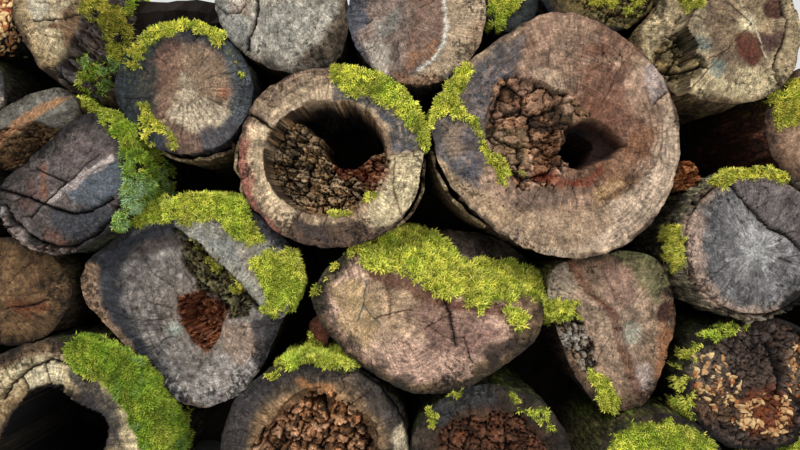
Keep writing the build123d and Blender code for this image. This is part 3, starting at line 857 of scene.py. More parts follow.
# Rotten ground log: a tan ring of sound wood round a heart of cubed brown rot, in the bottom row. Moss
# grows along the top, and a strip of bark stands off at the right.
log = Log("rotten_ground_log", around=270, step=0.0038, rows=13, heart=(315, 452))
log.ringed(
    (0, 112, 72, 48), (0.55, 140, 108, 78), (0.66, 142, 114, 84), (0.76, 102, 86, 69), (0.86, 76, 68, 60),
    (1, 44, 40, 38),
)
log.wear(rough=0.002)
checks(log, 12, strength=0.6)
log.bark((58, 50, 44), ridge=0.006, green=0.8)
stain(
    log, [(225, 440), (234, 404), (262, 376), (284, 366), (290, 378), (262, 400), (246, 430), (244, 455)],
    (66, 62, 62), 0.85, speckle=0.25,
)
stain(log, [(288, 366), (330, 362), (350, 372), (340, 380), (300, 380)], (62, 56, 50), 0.8, speckle=0.3)
stain(log, [(300, 382), (330, 382), (336, 392), (306, 392)], (176, 122, 76), 0.7)
stain(log, [(392, 428), (408, 430), (412, 452), (396, 456)], (212, 194, 162), 0.85, speckle=0.25)
stain(log, [(352, 376), (372, 390), (390, 420), (376, 424), (360, 396)], (72, 66, 64), 0.7, speckle=0.4)
heart = log.patch(
    [(248, 455), (262, 432), (276, 417), (292, 406), (306, 395), (320, 388), (338, 391), (352, 407),
     (362, 420), (371, 432), (378, 455), (340, 480), (280, 480)], soft=1.5, ragged=4,
)
# Painted shade, partly the dark rotten wood: the brink of the rotten heart and the walls behind it are
# painted dark brown.
log.colour(soft_step(log.brink, 0.012, 0.035), (48, 32, 23), 0.85)
rot(log, heart, (0.026, 0.02), deep=0.016, dark=(30, 18, 13), light=(240, 178, 128), turn=-25)
stain(log, [(318, 396), (334, 396), (332, 412), (318, 410)], (20, 12, 9), 0.8, soft=2, ragged=4)
log.crack([(360, 372), (380, 388), (398, 410), (408, 436), (410, 456)], wide=1.8, deep=0.02)
log.mossy(
    [(280, 366), (290, 352), (304, 346), (326, 344), (348, 348), (360, 362), (352, 370), (330, 367),
     (304, 361), (292, 368)], thick=0.008, hue=0.15,
)
log.mossy([(262, 380), (278, 366), (288, 366), (276, 378)], thick=0.003, hue=-0.3, cover=0.5)
log.finish(tufts=52000)


# Dark ground log: an old dark log of the bottom row, whose lower end frays into reddish fibres, with
# an arc of moss at its upper left.
log = Log("dark_ground_log", around=200, step=0.0042, rows=12, heart=(490, 460))
log.ringed((0, 96, 66, 48), (0.5, 84, 60, 44), (0.8, 60, 50, 42), (0.92, 66, 58, 48), (1, 40, 36, 32))
log.wear(rough=0.003)
checks(log, 8, strength=0.6)
log.bark((58, 52, 44), green=0.95)
fray = log.patch(
    [(440, 430), (480, 412), (520, 414), (548, 440), (550, 460), (440, 460)], soft=2, ragged=5,
)
rot(log, fray, (0.02, 0.012), deep=0.01, dark=(34, 22, 16), light=(130, 84, 58))
stain(
    log, [(424, 410), (444, 396), (470, 388), (500, 388), (496, 402), (460, 410), (440, 424)],
    (62, 64, 66), 0.8, speckle=0.4,
)
log.mossy(
    [(422, 420), (434, 400), (456, 388), (472, 384), (462, 396), (440, 410), (432, 428)], thick=0.003,
    hue=-0.5, cover=0.5,
)
log.mossy(
    [(512, 392), (540, 408), (558, 430), (548, 432), (530, 414), (510, 402)], thick=0.004, hue=0.0,
    cover=0.55,
)
log.finish(tufts=36000)


# Mossy, thin and right ground logs: three low logs of dark damp wood in bark, of which only the
# cushions of moss on top stand out. They lie at the bottom and carry the row above.
for name, tone, line in (
    (
        "mossy_ground_log", (84, 74, 52),
        [(604, 452), (616, 432), (640, 424), (668, 422), (698, 428), (712, 440), (712, 462), (604, 462)],
    ),
    (
        "thin_ground_log", (66, 56, 46),
        [(690, 422), (700, 412), (720, 412), (742, 422), (758, 440), (760, 462), (744, 462), (728, 440),
         (704, 432)],
    ),
    ("ground_log_right", (62, 54, 46), [(772, 440), (782, 424), (810, 418), (812, 460), (776, 460)]),
):
    log = Log(name, around=120, step=0.006, rows=12)
    log.ringed((0, 110, 88, 66), (0.7, 92, 74, 56), (1, 50, 44, 38))
    log.wear(rough=0.002)
    log.bark(tone, green=1.0)
    log.mossy(line, thick=0.009, hue=0.15)
    log.finish(tufts=46000)


# Slab-faced log: a lobed log whose sawn end has split back, so that a raised slab of grey wood is
# left at the upper right. A pocket of orange rot opens beside the slab, and moss covers the top and
# the slab's end. It rests in the cradle between two logs of the bottom row.
log = Log(
    "slab_faced_log", around=290, step=0.0036, rows=13, heart=(205, 325),
    bulge=(((84, 284), 0.022, 30), ((112, 336), 0.012, 30)),
)
log.ringed(
    (0, 150, 96, 66), (0.2, 132, 116, 104), (0.5, 128, 120, 112), (0.82, 120, 114, 110),
    (0.92, 84, 82, 86), (1, 52, 48, 48),
)
log.wear(rough=0.002)
checks(log, 16, strength=0.5)
log.bark((64, 50, 42))
stain(
    log, [(72, 276), (92, 262), (104, 272), (101, 300), (114, 322), (134, 350), (150, 378), (140, 380),
          (116, 345), (86, 316), (74, 296)], (168, 136, 108), 0.95, speckle=0.2,
)
stain(
    log, [(96, 262), (112, 244), (138, 232), (174, 220), (174, 234), (150, 240), (130, 250), (122, 264),
          (120, 292), (132, 322), (146, 348), (172, 392), (160, 392), (134, 352), (112, 322), (101, 298)],
    (50, 52, 58), 0.92, soft=4,
)
stain(log, [(128, 250), (150, 236), (176, 232), (186, 240), (160, 250), (140, 256)], (70, 62, 58), 0.7)
for k in range(9):
    log.crack(
        [(128 + 8 * k, 262), (127 + 8 * k, 290), (133 + 8 * k, 318), (146 + 8 * k, 348)], wide=0.7,
        deep=0.0012, dark=(84, 78, 76), strength=0.5,
    )
stain(
    log, [(214, 356), (246, 350), (264, 372), (256, 396), (228, 410), (196, 402), (184, 384), (200, 372)],
    (188, 176, 166), 0.8, speckle=0.45,
)
stain(log, [(222, 326), (250, 322), (264, 345), (242, 362), (225, 348)], (172, 146, 126), 0.75)
stain(log, [(250, 322), (276, 318), (280, 345), (262, 380), (256, 350)], (66, 62, 64), 0.85)
stain(
    log, [(184, 398), (210, 408), (236, 408), (256, 394), (250, 412), (215, 420), (188, 412)],
    (112, 96, 84), 0.8,
)
stain(
    log, [(174, 222), (198, 214), (232, 230), (262, 240), (300, 256), (300, 290), (284, 318), (258, 306),
          (232, 276), (206, 252), (176, 234)], (160, 156, 141), 0.95, soft=1.5, ragged=1.5,
)
stain(
    log, [(196, 234), (225, 240), (250, 258), (240, 270), (210, 250)], (118, 120, 118), 0.7, speckle=0.3,
)
stain(log, [(232, 245), (262, 258), (270, 285), (250, 280)], (152, 132, 116), 0.6, speckle=0.2)
log.crack(
    [(174, 228), (190, 242), (206, 255), (222, 268), (238, 284), (250, 298), (260, 310)], wide=2.2,
    deep=0.012, dark=(30, 26, 18),
)
pit = log.patch(
    [(179, 297), (198, 292), (212, 296), (223, 305), (226, 316), (218, 338), (208, 352), (195, 342),
     (184, 330), (177, 311)], soft=1.2, ragged=2,
)
rot(log, pit, (0.024, 0.005), deep=0.01, dark=(76, 36, 22), light=(190, 124, 84), turn=35)
stain(
    log, [(178, 300), (190, 296), (198, 306), (196, 330), (184, 328), (177, 312)], (80, 38, 24), 0.7,
    soft=1.5, ragged=2,
)
punk = log.patch(
    [(176, 236), (192, 240), (212, 254), (232, 274), (254, 302), (250, 320), (232, 316), (222, 298),
     (200, 290), (186, 268)], soft=1.5, ragged=5,
)
rot(log, punk * (1 - pit), (0.022, 0.007), deep=0.01, dark=(30, 26, 17), light=(132, 122, 84), turn=-35)
for k in range(15):
    turn = math.radians(40 + 6.5 * k)
    near, far = (56 + 5 * (k % 3), 74 + 4 * (k % 2))
    log.crack(
        [(205 + near * math.cos(turn), 325 + near * math.sin(turn)),
         (205 + far * math.cos(turn), 325 + far * math.sin(turn))], wide=0.8, deep=-0.002,
        dark=(212, 204, 196), strength=0.7,
    )
stain(log, oval(177, 327, 7, 9), (168, 178, 164), 0.7, speckle=0.3)
log.mossy(
    [(176, 230), (196, 246), (214, 260), (236, 282), (246, 296), (238, 296), (222, 280), (204, 264),
     (188, 250)], thick=0.004, hue=-0.6, cover=0.5,
)
log.mossy(
    [(134, 228), (138, 212), (156, 202), (176, 196), (203, 190), (236, 194), (250, 212), (262, 238),
     (250, 242), (238, 238), (222, 224), (203, 221), (188, 228), (174, 221), (151, 224)], thick=0.009,
    hue=0.05,
)
log.mossy(
    [(251, 260), (268, 250), (296, 250), (304, 275), (296, 302), (276, 314), (260, 309), (268, 296),
     (264, 284), (257, 272)], thick=0.008, hue=0.05,
)
log.finish(tufts=56000)


# Ochre log: a clean ochre end with level marks of the saw and reddish rot along the middle. It lies in
# the second row, with most of it beyond the left edge of the view.
log = Log("ochre_log", around=200, step=0.004, rows=12, heart=(-8, 300))
log.ringed((0, 122, 96, 68), (0.6, 114, 88, 62), (0.9, 92, 72, 50), (1, 50, 40, 32))
log.wear()
checks(log, 7, strength=0.5)
log.bark((70, 58, 46))
stain(log, [(36, 244), (70, 240), (78, 262), (74, 290), (56, 270)], (96, 78, 52), 0.8)
for down in (255, 268, 281, 294, 308, 322):
    log.crack(
        [(-20, down), (10, down + 1), (40, down - 1), (70, down + 2)], wide=0.8, deep=0.001,
        dark=(92, 68, 46), strength=0.55,
    )
stain(log, [(8, 302), (40, 300), (48, 310), (20, 316)], (106, 62, 40), 0.75)
log.crack([(8, 308), (30, 305), (48, 300)], wide=1.1, deep=0.006, dark=(50, 30, 20))
log.finish()


# Wedge billet: a small split piece of reddish wood, caught between two thicker logs, with moss along
# its lower edge.
log = Log("wedge_billet", around=110, step=0.003, rows=12)
log.ringed((0, 116, 70, 54), (0.7, 100, 60, 46), (1, 60, 40, 32))
log.wear(rough=0.001)
log.bark((72, 48, 38))
log.mossy(
    [(292, 312), (304, 330), (322, 346), (342, 352), (340, 358), (314, 352), (296, 334)], thick=0.004,
    hue=-0.1,
)
log.finish(tufts=46000)


# Bevelled log: the upper half of its end was cut on a slope and lies under a thick cushion of moss,
# with a fringe that hangs over the sawn lower half. The pith shows as a small blue star at the left.
log = Log(
    "bevelled_log", around=290, step=0.0036, rows=13, heart=(366, 306), bulge=(((324, 296), 0.026, 32),),
)
log.ringed(
    (0, 186, 158, 124), (0.3, 180, 150, 122), (0.6, 190, 158, 136), (0.84, 172, 140, 120),
    (0.93, 96, 78, 58), (1, 58, 50, 40),
)
log.wear()
checks(log, 10, strength=0.4)
log.bark((82, 70, 62))
stain(
    log, [(334, 284), (350, 276), (368, 282), (376, 320), (372, 355), (350, 340), (336, 314)],
    (190, 160, 112), 0.6,
)
stain(
    log, [(416, 300), (446, 298), (490, 316), (500, 330), (482, 350), (456, 357), (424, 340), (408, 318)],
    (124, 92, 84), 0.75, soft=6, ragged=8, speckle=0.25,
)
stain(
    log, [(392, 330), (424, 344), (460, 358), (484, 352), (470, 374), (428, 384), (396, 372)],
    (192, 156, 136), 0.7, speckle=0.15,
)
stain(
    log, [(356, 262), (384, 268), (410, 280), (448, 298), (505, 305), (516, 320), (480, 312), (440, 306),
          (400, 290), (368, 278)], (104, 64, 50), 0.75,
)
stain(
    log, [(306, 290), (330, 268), (346, 258), (344, 268), (328, 286), (322, 300), (318, 312)],
    (66, 62, 48), 0.85, speckle=0.2,
)
stain(log, [(478, 355), (510, 338), (520, 328), (516, 345), (490, 366)], (40, 34, 32), 0.85)
for line in (
    oval(326, 300, 6, 8), oval(334, 322, 6, 9), oval(350, 344, 7, 7), oval(378, 366, 10, 6),
    oval(400, 380, 12, 5), oval(456, 378, 14, 4),
):
    stain(log, line, (44, 42, 38), 0.8, soft=2, ragged=6, speckle=0.2)
log.crack([(363, 305), (359, 319)], wide=0.8, deep=0.002, dark=(58, 92, 104), strength=0.8)
log.crack([(363, 305), (372, 316), (380, 324)], wide=0.8, deep=0.002, dark=(58, 92, 104), strength=0.7)
log.crack([(363, 305), (366, 280)], wide=0.8, deep=0.002, dark=(70, 92, 92), strength=0.6)
log.crack([(386, 284), (390, 300), (391, 318)], wide=0.7, deep=0.004, dark=(110, 72, 54), strength=0.8)
log.crack([(374, 318), (392, 313), (412, 310)], wide=0.7, deep=0.004, dark=(100, 70, 54), strength=0.8)
log.crack([(444, 300), (450, 314), (452, 326), (456, 346)], wide=1.2, deep=0.01)
log.crack([(452, 314), (438, 321), (424, 329)], wide=0.7, deep=0.003, dark=(80, 52, 44), strength=0.8)
log.crack([(464, 336), (468, 350), (473, 364)], wide=0.9, deep=0.005, dark=(60, 42, 36))
stain(
    log, [(420, 232), (450, 232), (500, 240), (540, 262), (520, 268), (500, 264), (482, 258), (466, 264),
          (452, 252), (438, 240)], (80, 74, 68), 0.9, speckle=0.2,
)
log.mossy(
    [(361, 262), (356, 248), (362, 240), (374, 232), (396, 228), (421, 230), (438, 238), (453, 252),
     (466, 265), (483, 258), (500, 264), (524, 266), (542, 272), (552, 284), (550, 298), (538, 302),
     (518, 294), (514, 304), (503, 304), (486, 302), (483, 318), (476, 311), (462, 297), (448, 297),
     (427, 290), (410, 280), (386, 271), (366, 266)], thick=0.011, hue=0.05, ragged=3,
)
log.mossy(
    [(300, 306), (314, 286), (332, 266), (350, 246), (364, 238), (362, 250), (348, 258), (334, 272),
     (318, 290), (306, 306)], thick=0.005, hue=-0.3, cover=0.7,
)
log.mossy([(506, 310), (520, 313), (527, 326), (522, 336), (514, 328), (507, 320)], thick=0.006)
log.finish(tufts=40000, scale=(0.8, 1.9))


# Tapering log: a log split to a wedge, with a wavy red-brown line down its pale face, a knot at the
# right and a ragged strip of bark and moss along the left edge.
log = Log("tapering_log", around=230, step=0.0036, rows=12, heart=(622, 318))
log.ringed(
    (0, 166, 142, 120), (0.4, 160, 135, 113), (0.75, 148, 122, 100), (0.92, 112, 89, 69), (1, 66, 54, 44),
)
log.wear(rough=0.002)
checks(log, 6, strength=0.4)
log.bark((78, 62, 50))
stain(
    log, [(534, 254), (562, 252), (576, 280), (580, 306), (552, 312), (540, 300)], (156, 140, 120), 0.85,
)
stain(
    log, [(596, 232), (640, 230), (656, 262), (668, 284), (656, 302), (640, 282), (622, 262), (604, 252)],
    (112, 116, 76), 0.75, speckle=0.35,
)
stain(log, oval(630, 334, 12, 13), (168, 174, 156), 0.7, speckle=0.5)
stain(log, oval(642, 380, 9, 16, 15), (184, 168, 160), 0.6)
stain(log, [(660, 320), (676, 330), (682, 342), (668, 378), (655, 392), (658, 360)], (156, 106, 74), 0.7)
stain(log, [(600, 262), (628, 268), (636, 300), (620, 312), (604, 290)], (148, 112, 100), 0.5)
for k in range(4):
    log.crack(
        [(562 + 3 * k, 256), (576 + 3 * k, 278), (588 + 3 * k, 296), (606 + 3 * k, 310),
         (614 + 3 * k, 330), (620 + 3 * k, 352), (628 + 3 * k, 378), (638 + 2 * k, 398)], wide=1.5,
        deep=0.001 + 0.003 * (k == 1), dark=(110, 70, 53), strength=0.5,
    )
stain(log, oval(666, 312, 10, 12, 20), (66, 40, 34), 0.9, soft=2, ragged=4)
stain(log, oval(676, 306, 6, 10, 20), (120, 88, 62), 0.6)
strip = log.patch(
    [(546, 314), (576, 308), (590, 342), (598, 366), (586, 372), (568, 352), (552, 334)], soft=1.5,
    ragged=3,
)
rot(log, strip, (0.01, 0.018), deep=0.012, dark=(40, 28, 22), light=(176, 158, 138), turn=20)
log.mossy([(541, 308), (549, 300), (578, 301), (578, 318), (562, 322), (546, 320)], thick=0.007)
log.mossy([(586, 368), (600, 372), (616, 388), (616, 414), (602, 410), (592, 392)], thick=0.006, hue=-0.1)
log.finish(tufts=46000)


# Fungus log: a dark log whose whole end has gone soft with rot. Crusts of cream and orange fungi grow
# out of its face, and moss grows along its top and left.


# Fungus: orange-brown to cream, a little darker in patches
def crust():
    fungus = Shader("crust_fungus", 0.6)
    shade = fungus.value("shade").outputs["Fac"]
    colour = fungus.mix(shade, (150, 78, 34), (226, 196, 140))
    light = fungus.spread(fungus.noise(fungus.place(), 180, 3), 0.75, 1.2)
    fungus.links.new(fungus.lit(colour, light), fungus.out.inputs["Base Color"])
    return fungus.material


crust_material = crust()


# A little shelf of fungus: a flat rounded cushion
def make_shelf():
    mesh = bmesh.new()
    bmesh.ops.create_icosphere(mesh, subdivisions=2, radius=0.006)
    for vert in mesh.verts:
        turn = math.atan2(vert.co.y, vert.co.x)
        edge = 1 + 0.2 * math.sin(3 * turn) + 0.12 * math.sin(5 * turn + 1)
        vert.co = Vector((vert.co.x * edge * 1.35, vert.co.y * edge, vert.co.z * 0.4))
    for face in mesh.faces:
        face.smooth = True
    return small_piece("shelf", mesh, crust_material)


shelf = make_shelf()


# Fungi grow as little shelves, thickest where the wood is softest
def grow_fungi(log, skin, density):
    strewn(log.name + "_fungi", skin, "fungus", shelf, density, (0.25, 1.25), 0.5, log.seed)


log = Log("fungus_log", around=210, step=0.0038, rows=12, heart=(752, 380))
log.ringed((0, 66, 54, 48), (0.5, 54, 45, 42), (0.85, 48, 40, 37), (1, 32, 28, 26))
log.wear(rough=0.003)
checks(log, 8, strength=0.5)
log.bark((52, 46, 42))
face = (log.kind == FRONT) * soft_step(-log.share, -0.97, -0.9) * soft_step(log.lumps(0.05, 83), -0.9, -0.3)
rot(log, face, (0.015, 0.011), deep=0.006, dark=(24, 19, 17), light=(104, 84, 72), turn=-20)
stain(
    log, [(690, 352), (720, 344), (735, 360), (728, 388), (700, 392), (688, 372)], (150, 132, 114), 0.6,
    speckle=0.7,
)
stain(
    log, [(692, 392), (720, 386), (744, 400), (736, 424), (700, 420)], (142, 108, 80), 0.55, speckle=0.75,
)
stain(log, [(740, 368), (772, 360), (782, 384), (762, 400), (744, 392)], (92, 76, 66), 0.6)
stain(log, [(786, 346), (812, 340), (812, 400), (790, 396)], (150, 122, 96), 0.6, speckle=0.7)
stain(
    log, [(742, 392), (770, 386), (790, 394), (792, 424), (768, 436), (740, 426)], (142, 74, 38), 0.65,
    speckle=0.6,
)
log.crack([(768, 342), (774, 360), (780, 380), (778, 400)], wide=2.4, deep=0.01, dark=(16, 14, 16))
scurf = log.patch(
    [(738, 402), (770, 388), (792, 392), (796, 426), (766, 438), (736, 424)], soft=3, ragged=6,
)
flecks = log.patch([(690, 356), (730, 352), (745, 398), (715, 410), (690, 392)], soft=3, ragged=6) * 0.5
specks = log.patch([(784, 346), (815, 340), (815, 400), (788, 398)], soft=3, ragged=6) * 0.52
log.fungus = np.maximum(scurf * soft_step(log.lumps(0.02, 81), -0.5, 0.3), np.maximum(flecks, specks))
log.mossy(
    [(684, 352), (694, 336), (716, 326), (744, 324), (750, 332), (724, 338), (704, 346), (694, 360)],
    thick=0.005, hue=0.3, cover=0.7,
)
log.mossy(
    [(678, 350), (692, 346), (692, 380), (690, 408), (680, 396), (676, 370)], thick=0.005, hue=-0.2,
    cover=0.7,
)
log.mossy([(664, 402), (690, 398), (694, 416), (680, 424), (664, 418)], thick=0.006, hue=0.1)
grow_fungi(log, log.finish(tufts=42000), density=15000)


# Flat-sided log: a dark old log that has broken off flat at the upper left, with a crack across its
# heart, thick pale bark left along the bottom and green and white lichen down the right side.
log = Log("flat_sided_log", around=230, step=0.0036, rows=14, heart=(62, 188))
log.ringed((0, 114, 102, 96), (0.4, 100, 92, 88), (0.75, 84, 76, 72), (0.93, 58, 53, 51), (1, 42, 39, 38))
log.wear(rough=0.003)
checks(log, 9, strength=0.6)
log.bark((66, 66, 54), green=0.9)
stain(
    log, [(66, 186), (112, 156), (122, 172), (118, 196), (96, 206), (74, 204)], (90, 101, 110), 0.85,
    speckle=0.35,
)
stain(
    log, [(80, 132), (100, 140), (110, 155), (84, 172), (62, 178), (58, 158)], (112, 98, 94), 0.8,
    speckle=0.4,
)
stain(
    log, [(54, 214), (82, 208), (112, 208), (104, 226), (78, 242), (60, 238)], (62, 65, 71), 0.85,
    speckle=0.2,
)
stain(log, [(44, 228), (62, 234), (72, 246), (56, 250)], (118, 78, 60), 0.6, speckle=0.3)
stain(log, [(24, 182), (38, 172), (42, 196), (34, 214), (18, 206)], (92, 68, 62), 0.7)
stain(
    log, [(37, 160), (46, 163), (48, 185), (46, 204), (40, 196), (42, 178)], (132, 84, 60), 0.75, soft=3,
    ragged=3, speckle=0.3,
)
stain(
    log,
    [(44, 204), (62, 186), (68, 181), (78, 176), (112, 155), (114, 160), (94, 173), (72, 190), (56, 199)],
    (178, 164, 156), 0.85, soft=1.5, ragged=2,
)
log.crack(
    [(0, 189), (12, 193), (41, 203), (58, 210), (74, 214), (92, 210), (112, 198)], wide=1.6, deep=0.016,
)
log.crack([(30, 218), (43, 203), (56, 192), (67, 183)], wide=0.9, deep=0.006, dark=(40, 32, 32))
log.crack([(67, 183), (52, 176), (36, 168)], wide=0.9, deep=0.006, dark=(40, 30, 30))
log.crack([(67, 183), (84, 166), (100, 154)], wide=0.8, deep=0.005, dark=(50, 44, 46))
log.crack(
    [(4, 205), (14, 222), (28, 236), (42, 243), (57, 248), (74, 246), (92, 236), (112, 220), (122, 200)],
    wide=1.8, deep=0.02, dark=(14, 10, 9),
)
plates = log.patch(
    [(2, 206), (10, 222), (28, 240), (56, 251), (74, 250), (62, 268), (36, 262), (8, 244), (0, 222)],
    soft=1.5, ragged=3,
)
rot(log, plates, (0.036, 0.014), deep=0.01, dark=(58, 46, 42), light=(168, 150, 140), turn=-35)
log.mossy(
    [(84, 98), (98, 92), (116, 104), (134, 118), (152, 134), (160, 152), (148, 160), (128, 156),
     (118, 140), (106, 122)], thick=0.009, hue=0.4, glow=0.8,
)
log.mossy(
    [(119, 146), (130, 150), (160, 156), (168, 176), (150, 184), (126, 178)], thick=0.007, hue=0.6,
    cover=0.8, glow=0.8,
)
log.mossy(
    [(124, 176), (150, 182), (172, 180), (178, 204), (164, 214), (130, 216), (122, 200)], thick=0.007,
    hue=0.85, cover=0.85,
)
log.mossy([(112, 214), (124, 212), (130, 226), (116, 230)], thick=0.005, hue=0.7)
log.finish(tufts=46000)


# Hollow log: a heavy log whose heart has rotted out behind the sawn end, with a shelf of brown rotten
# blocks and a deep hole whose walls are painted black as shade. Moss has grown over its upper right edge.
log = Log("hollow_log", around=300, step=0.0034, rows=13, heart=(327, 159))
log.ringed(
    (0, 60, 44, 34), (0.6, 150, 122, 98), (0.75, 198, 174, 140), (0.9, 184, 158, 126),
    (0.96, 116, 92, 76), (1, 58, 50, 42),
)
log.wear()
checks(log, 14, strength=0.45)
log.bark((70, 52, 42))
stain(
    log, [(236, 140), (250, 138), (252, 190), (262, 212), (284, 238), (262, 230), (243, 205), (235, 165)],
    (158, 100, 84), 0.75,
)
stain(
    log, [(255, 112), (278, 86), (312, 72), (332, 70), (331, 84), (300, 92), (276, 108), (262, 124)],
    (112, 92, 80), 0.7, speckle=0.5,
)
stain(log, [(265, 120), (300, 96), (330, 88), (330, 100), (302, 103), (272, 126)], (196, 170, 140), 0.7)
stain(
    log, [(332, 64), (355, 66), (388, 88), (418, 116), (430, 150), (410, 153), (392, 153), (388, 125),
          (372, 108), (352, 100), (332, 102)], (70, 73, 80), 0.95, soft=1.2, ragged=1.5, speckle=0.3,
)
stain(
    log, [(390, 153), (408, 156), (426, 151), (426, 176), (414, 200), (398, 222), (376, 230), (368, 208),
          (382, 190), (391, 172)], (206, 188, 148), 0.95, soft=1.5, ragged=2, speckle=0.15,
)
stain(
    log, [(290, 218), (320, 222), (362, 218), (378, 232), (350, 250), (306, 248), (285, 236)],
    (84, 67, 56), 0.97,
)
stain(log, [(296, 224), (322, 224), (330, 240), (306, 240)], (62, 58, 62), 0.7, speckle=0.4)
log.crack([(249, 113), (260, 120), (271, 128)], wide=1.4, deep=0.02)
log.crack([(395, 158), (393, 185), (400, 212), (404, 226)], wide=0.7, deep=0.004, dark=(120, 98, 78))
inner = log.patch(
    [(264, 143), (271, 129), (284, 118), (298, 110), (310, 104), (333, 101), (352, 102), (369, 113),
     (381, 129), (383, 151), (390, 160), (386, 172), (376, 195), (352, 212), (320, 216), (293, 208),
     (276, 193), (267, 172)], soft=1.2, ragged=2.0, size=0.02,
)
# Painted shade, partly the dark rotten wood: the brink of the hollow is painted dark brown.
log.colour(soft_step(log.brink, 0.012, 0.035), (52, 37, 28), 0.9)
rot(log, inner, (0.026, 0.011), deep=0.014, dark=(26, 19, 15), light=(222, 184, 138), turn=-12)
log.colour(
    log.patch([(326, 150), (345, 156), (382, 158), (386, 172), (370, 190), (345, 178), (330, 165)]),
    (132, 62, 42), 0.6,
)
shaded_hole = log.patch(
    [(294, 120), (306, 107), (333, 102), (352, 103), (371, 114), (381, 130), (382, 150), (366, 158),
     (344, 155), (330, 147), (317, 133), (303, 122)], soft=2.0, ragged=3.0,
)
# The hole is pushed back and painted near-black, with its right wall dark brown: painted shade.
log.co[:, 1] += 0.09 * shaded_hole
log.colour(shaded_hole, (7, 6, 6), 0.97)
log.colour(
    log.patch([(362, 116), (374, 118), (380, 132), (381, 150), (374, 150), (370, 132)]), (26, 17, 14),
    0.8,
)
log.mossy(
    [(352, 208), (366, 190), (376, 196), (360, 212), (335, 220), (330, 215)], thick=0.005, cover=0.5,
    hue=-0.4,
)
log.mossy(
    [(331, 70), (334, 62), (346, 62), (372, 64), (392, 72), (407, 84), (423, 102), (425, 120), (431, 134),
     (430, 152), (416, 151), (414, 134), (403, 122), (387, 105), (367, 97), (351, 95), (341, 88),
     (335, 80)], thick=0.008,
)
log.finish(tufts=52000)


# Widest log: a large sound rim round a heart of cubed brown rot with a hole beside it. The left side
# is stained blue-grey, a line of moss runs down it, and a flap of inner bark is left at the right.
log = Log("widest_log", around=350, step=0.0036, rows=13, heart=(575, 140))
log.spots *= 0.45
log.ringed(
    (0, 96, 66, 52), (0.3, 122, 92, 74), (0.5, 146, 118, 98), (0.7, 150, 122, 102), (0.85, 160, 134, 112),
    (0.98, 160, 136, 110), (1, 90, 74, 62),
)
log.wear()
checks(log, 12, strength=0.5)
log.bark((74, 58, 48))
stain(
    log, [(508, 50), (540, 0), (600, 0), (640, 22), (655, 50), (600, 60), (560, 40), (530, 60)],
    (150, 118, 98), 0.6,
)
stain(log, [(590, 18), (620, 26), (640, 50), (632, 70), (605, 50)], (108, 76, 60), 0.6)
stain(log, [(524, 33), (534, 33), (535, 44), (526, 47)], (100, 72, 58), 0.8)
stain(
    log, [(664, 100), (684, 141), (680, 182), (654, 218), (612, 250), (560, 256), (516, 240), (510, 214),
          (560, 212), (600, 206), (632, 186), (652, 158), (660, 130)], (186, 162, 138), 0.95, soft=5,
)
stain(
    log, [(505, 208), (560, 206), (600, 204), (612, 226), (580, 250), (530, 246)], (150, 124, 98), 0.85,
    speckle=0.35,
)
stain(log, [(518, 192), (545, 190), (570, 195), (566, 206), (530, 210)], (106, 88, 78), 0.7, speckle=0.3)
stain(log, [(588, 190), (622, 178), (636, 180), (616, 200), (590, 208)], (178, 142, 98), 0.6)
stain(
    log, [(584, 48), (604, 52), (618, 78), (624, 98), (642, 118), (654, 134), (648, 156), (626, 152),
          (600, 122), (584, 96), (578, 70)], (104, 66, 50), 0.75, soft=6, ragged=10, speckle=0.3,
)
stain(
    log, [(622, 150), (640, 130), (652, 134), (648, 160), (630, 176), (606, 180), (600, 168)],
    (134, 94, 66), 0.6, soft=5, ragged=8,
)
for k in range(3):
    log.crack(
        [(640 + 7 * k, 96), (650 + 6 * k, 118), (653 + 5 * k, 140), (646 + 5 * k, 164),
         (628 + 5 * k, 184), (600 + 5 * k, 200)], wide=1.0, deep=0.001, dark=(98, 66, 46), strength=0.55,
    )
stain(
    log, [(428, 130), (445, 92), (472, 68), (500, 44), (524, 36), (512, 70), (496, 92), (487, 124),
          (483, 172), (476, 186), (457, 180), (436, 160)], (84, 84, 88), 0.92, soft=4, speckle=0.4,
)
stain(
    log, [(446, 126), (462, 122), (466, 150), (452, 158), (445, 146)], (150, 128, 106), 0.85, speckle=0.3,
)
stain(log, [(462, 160), (482, 158), (478, 186), (462, 182)], (72, 72, 80), 0.7)
stain(
    log, [(434, 158), (462, 184), (500, 200), (524, 228), (500, 224), (462, 196), (440, 174)],
    (176, 148, 116), 0.85, speckle=0.2,
)
heart = log.patch(
    [(494, 86), (505, 77), (516, 75), (534, 77), (559, 90), (569, 93), (590, 114), (582, 122), (566, 127),
     (566, 145), (568, 168), (553, 188), (520, 188), (507, 174), (489, 158), (487, 134)], soft=1.2,
    ragged=3.0, size=0.02,
)
# Painted shade, partly the dark rotten wood: the brink of the rotten heart is painted dark brown.
log.colour(soft_step(log.brink, 0.008, 0.025), (60, 40, 31), 0.7)
rot(log, heart, (0.034, 0.026), deep=0.009, dark=(24, 16, 13), light=(214, 162, 126), turn=4)
log.colour(
    log.patch([(488, 126), (525, 128), (530, 165), (500, 172), (490, 158)]) * heart, (92, 84, 58), 0.5,
)
log.colour(
    log.patch([(560, 92), (590, 114), (582, 122), (560, 122), (545, 108)]) * heart, (92, 76, 58), 0.55,
)
shaded_hole = log.patch(
    [(566, 130), (582, 122), (594, 120), (628, 146), (612, 156), (597, 164), (584, 169), (571, 166)],
    soft=1.5, ragged=2.0,
)
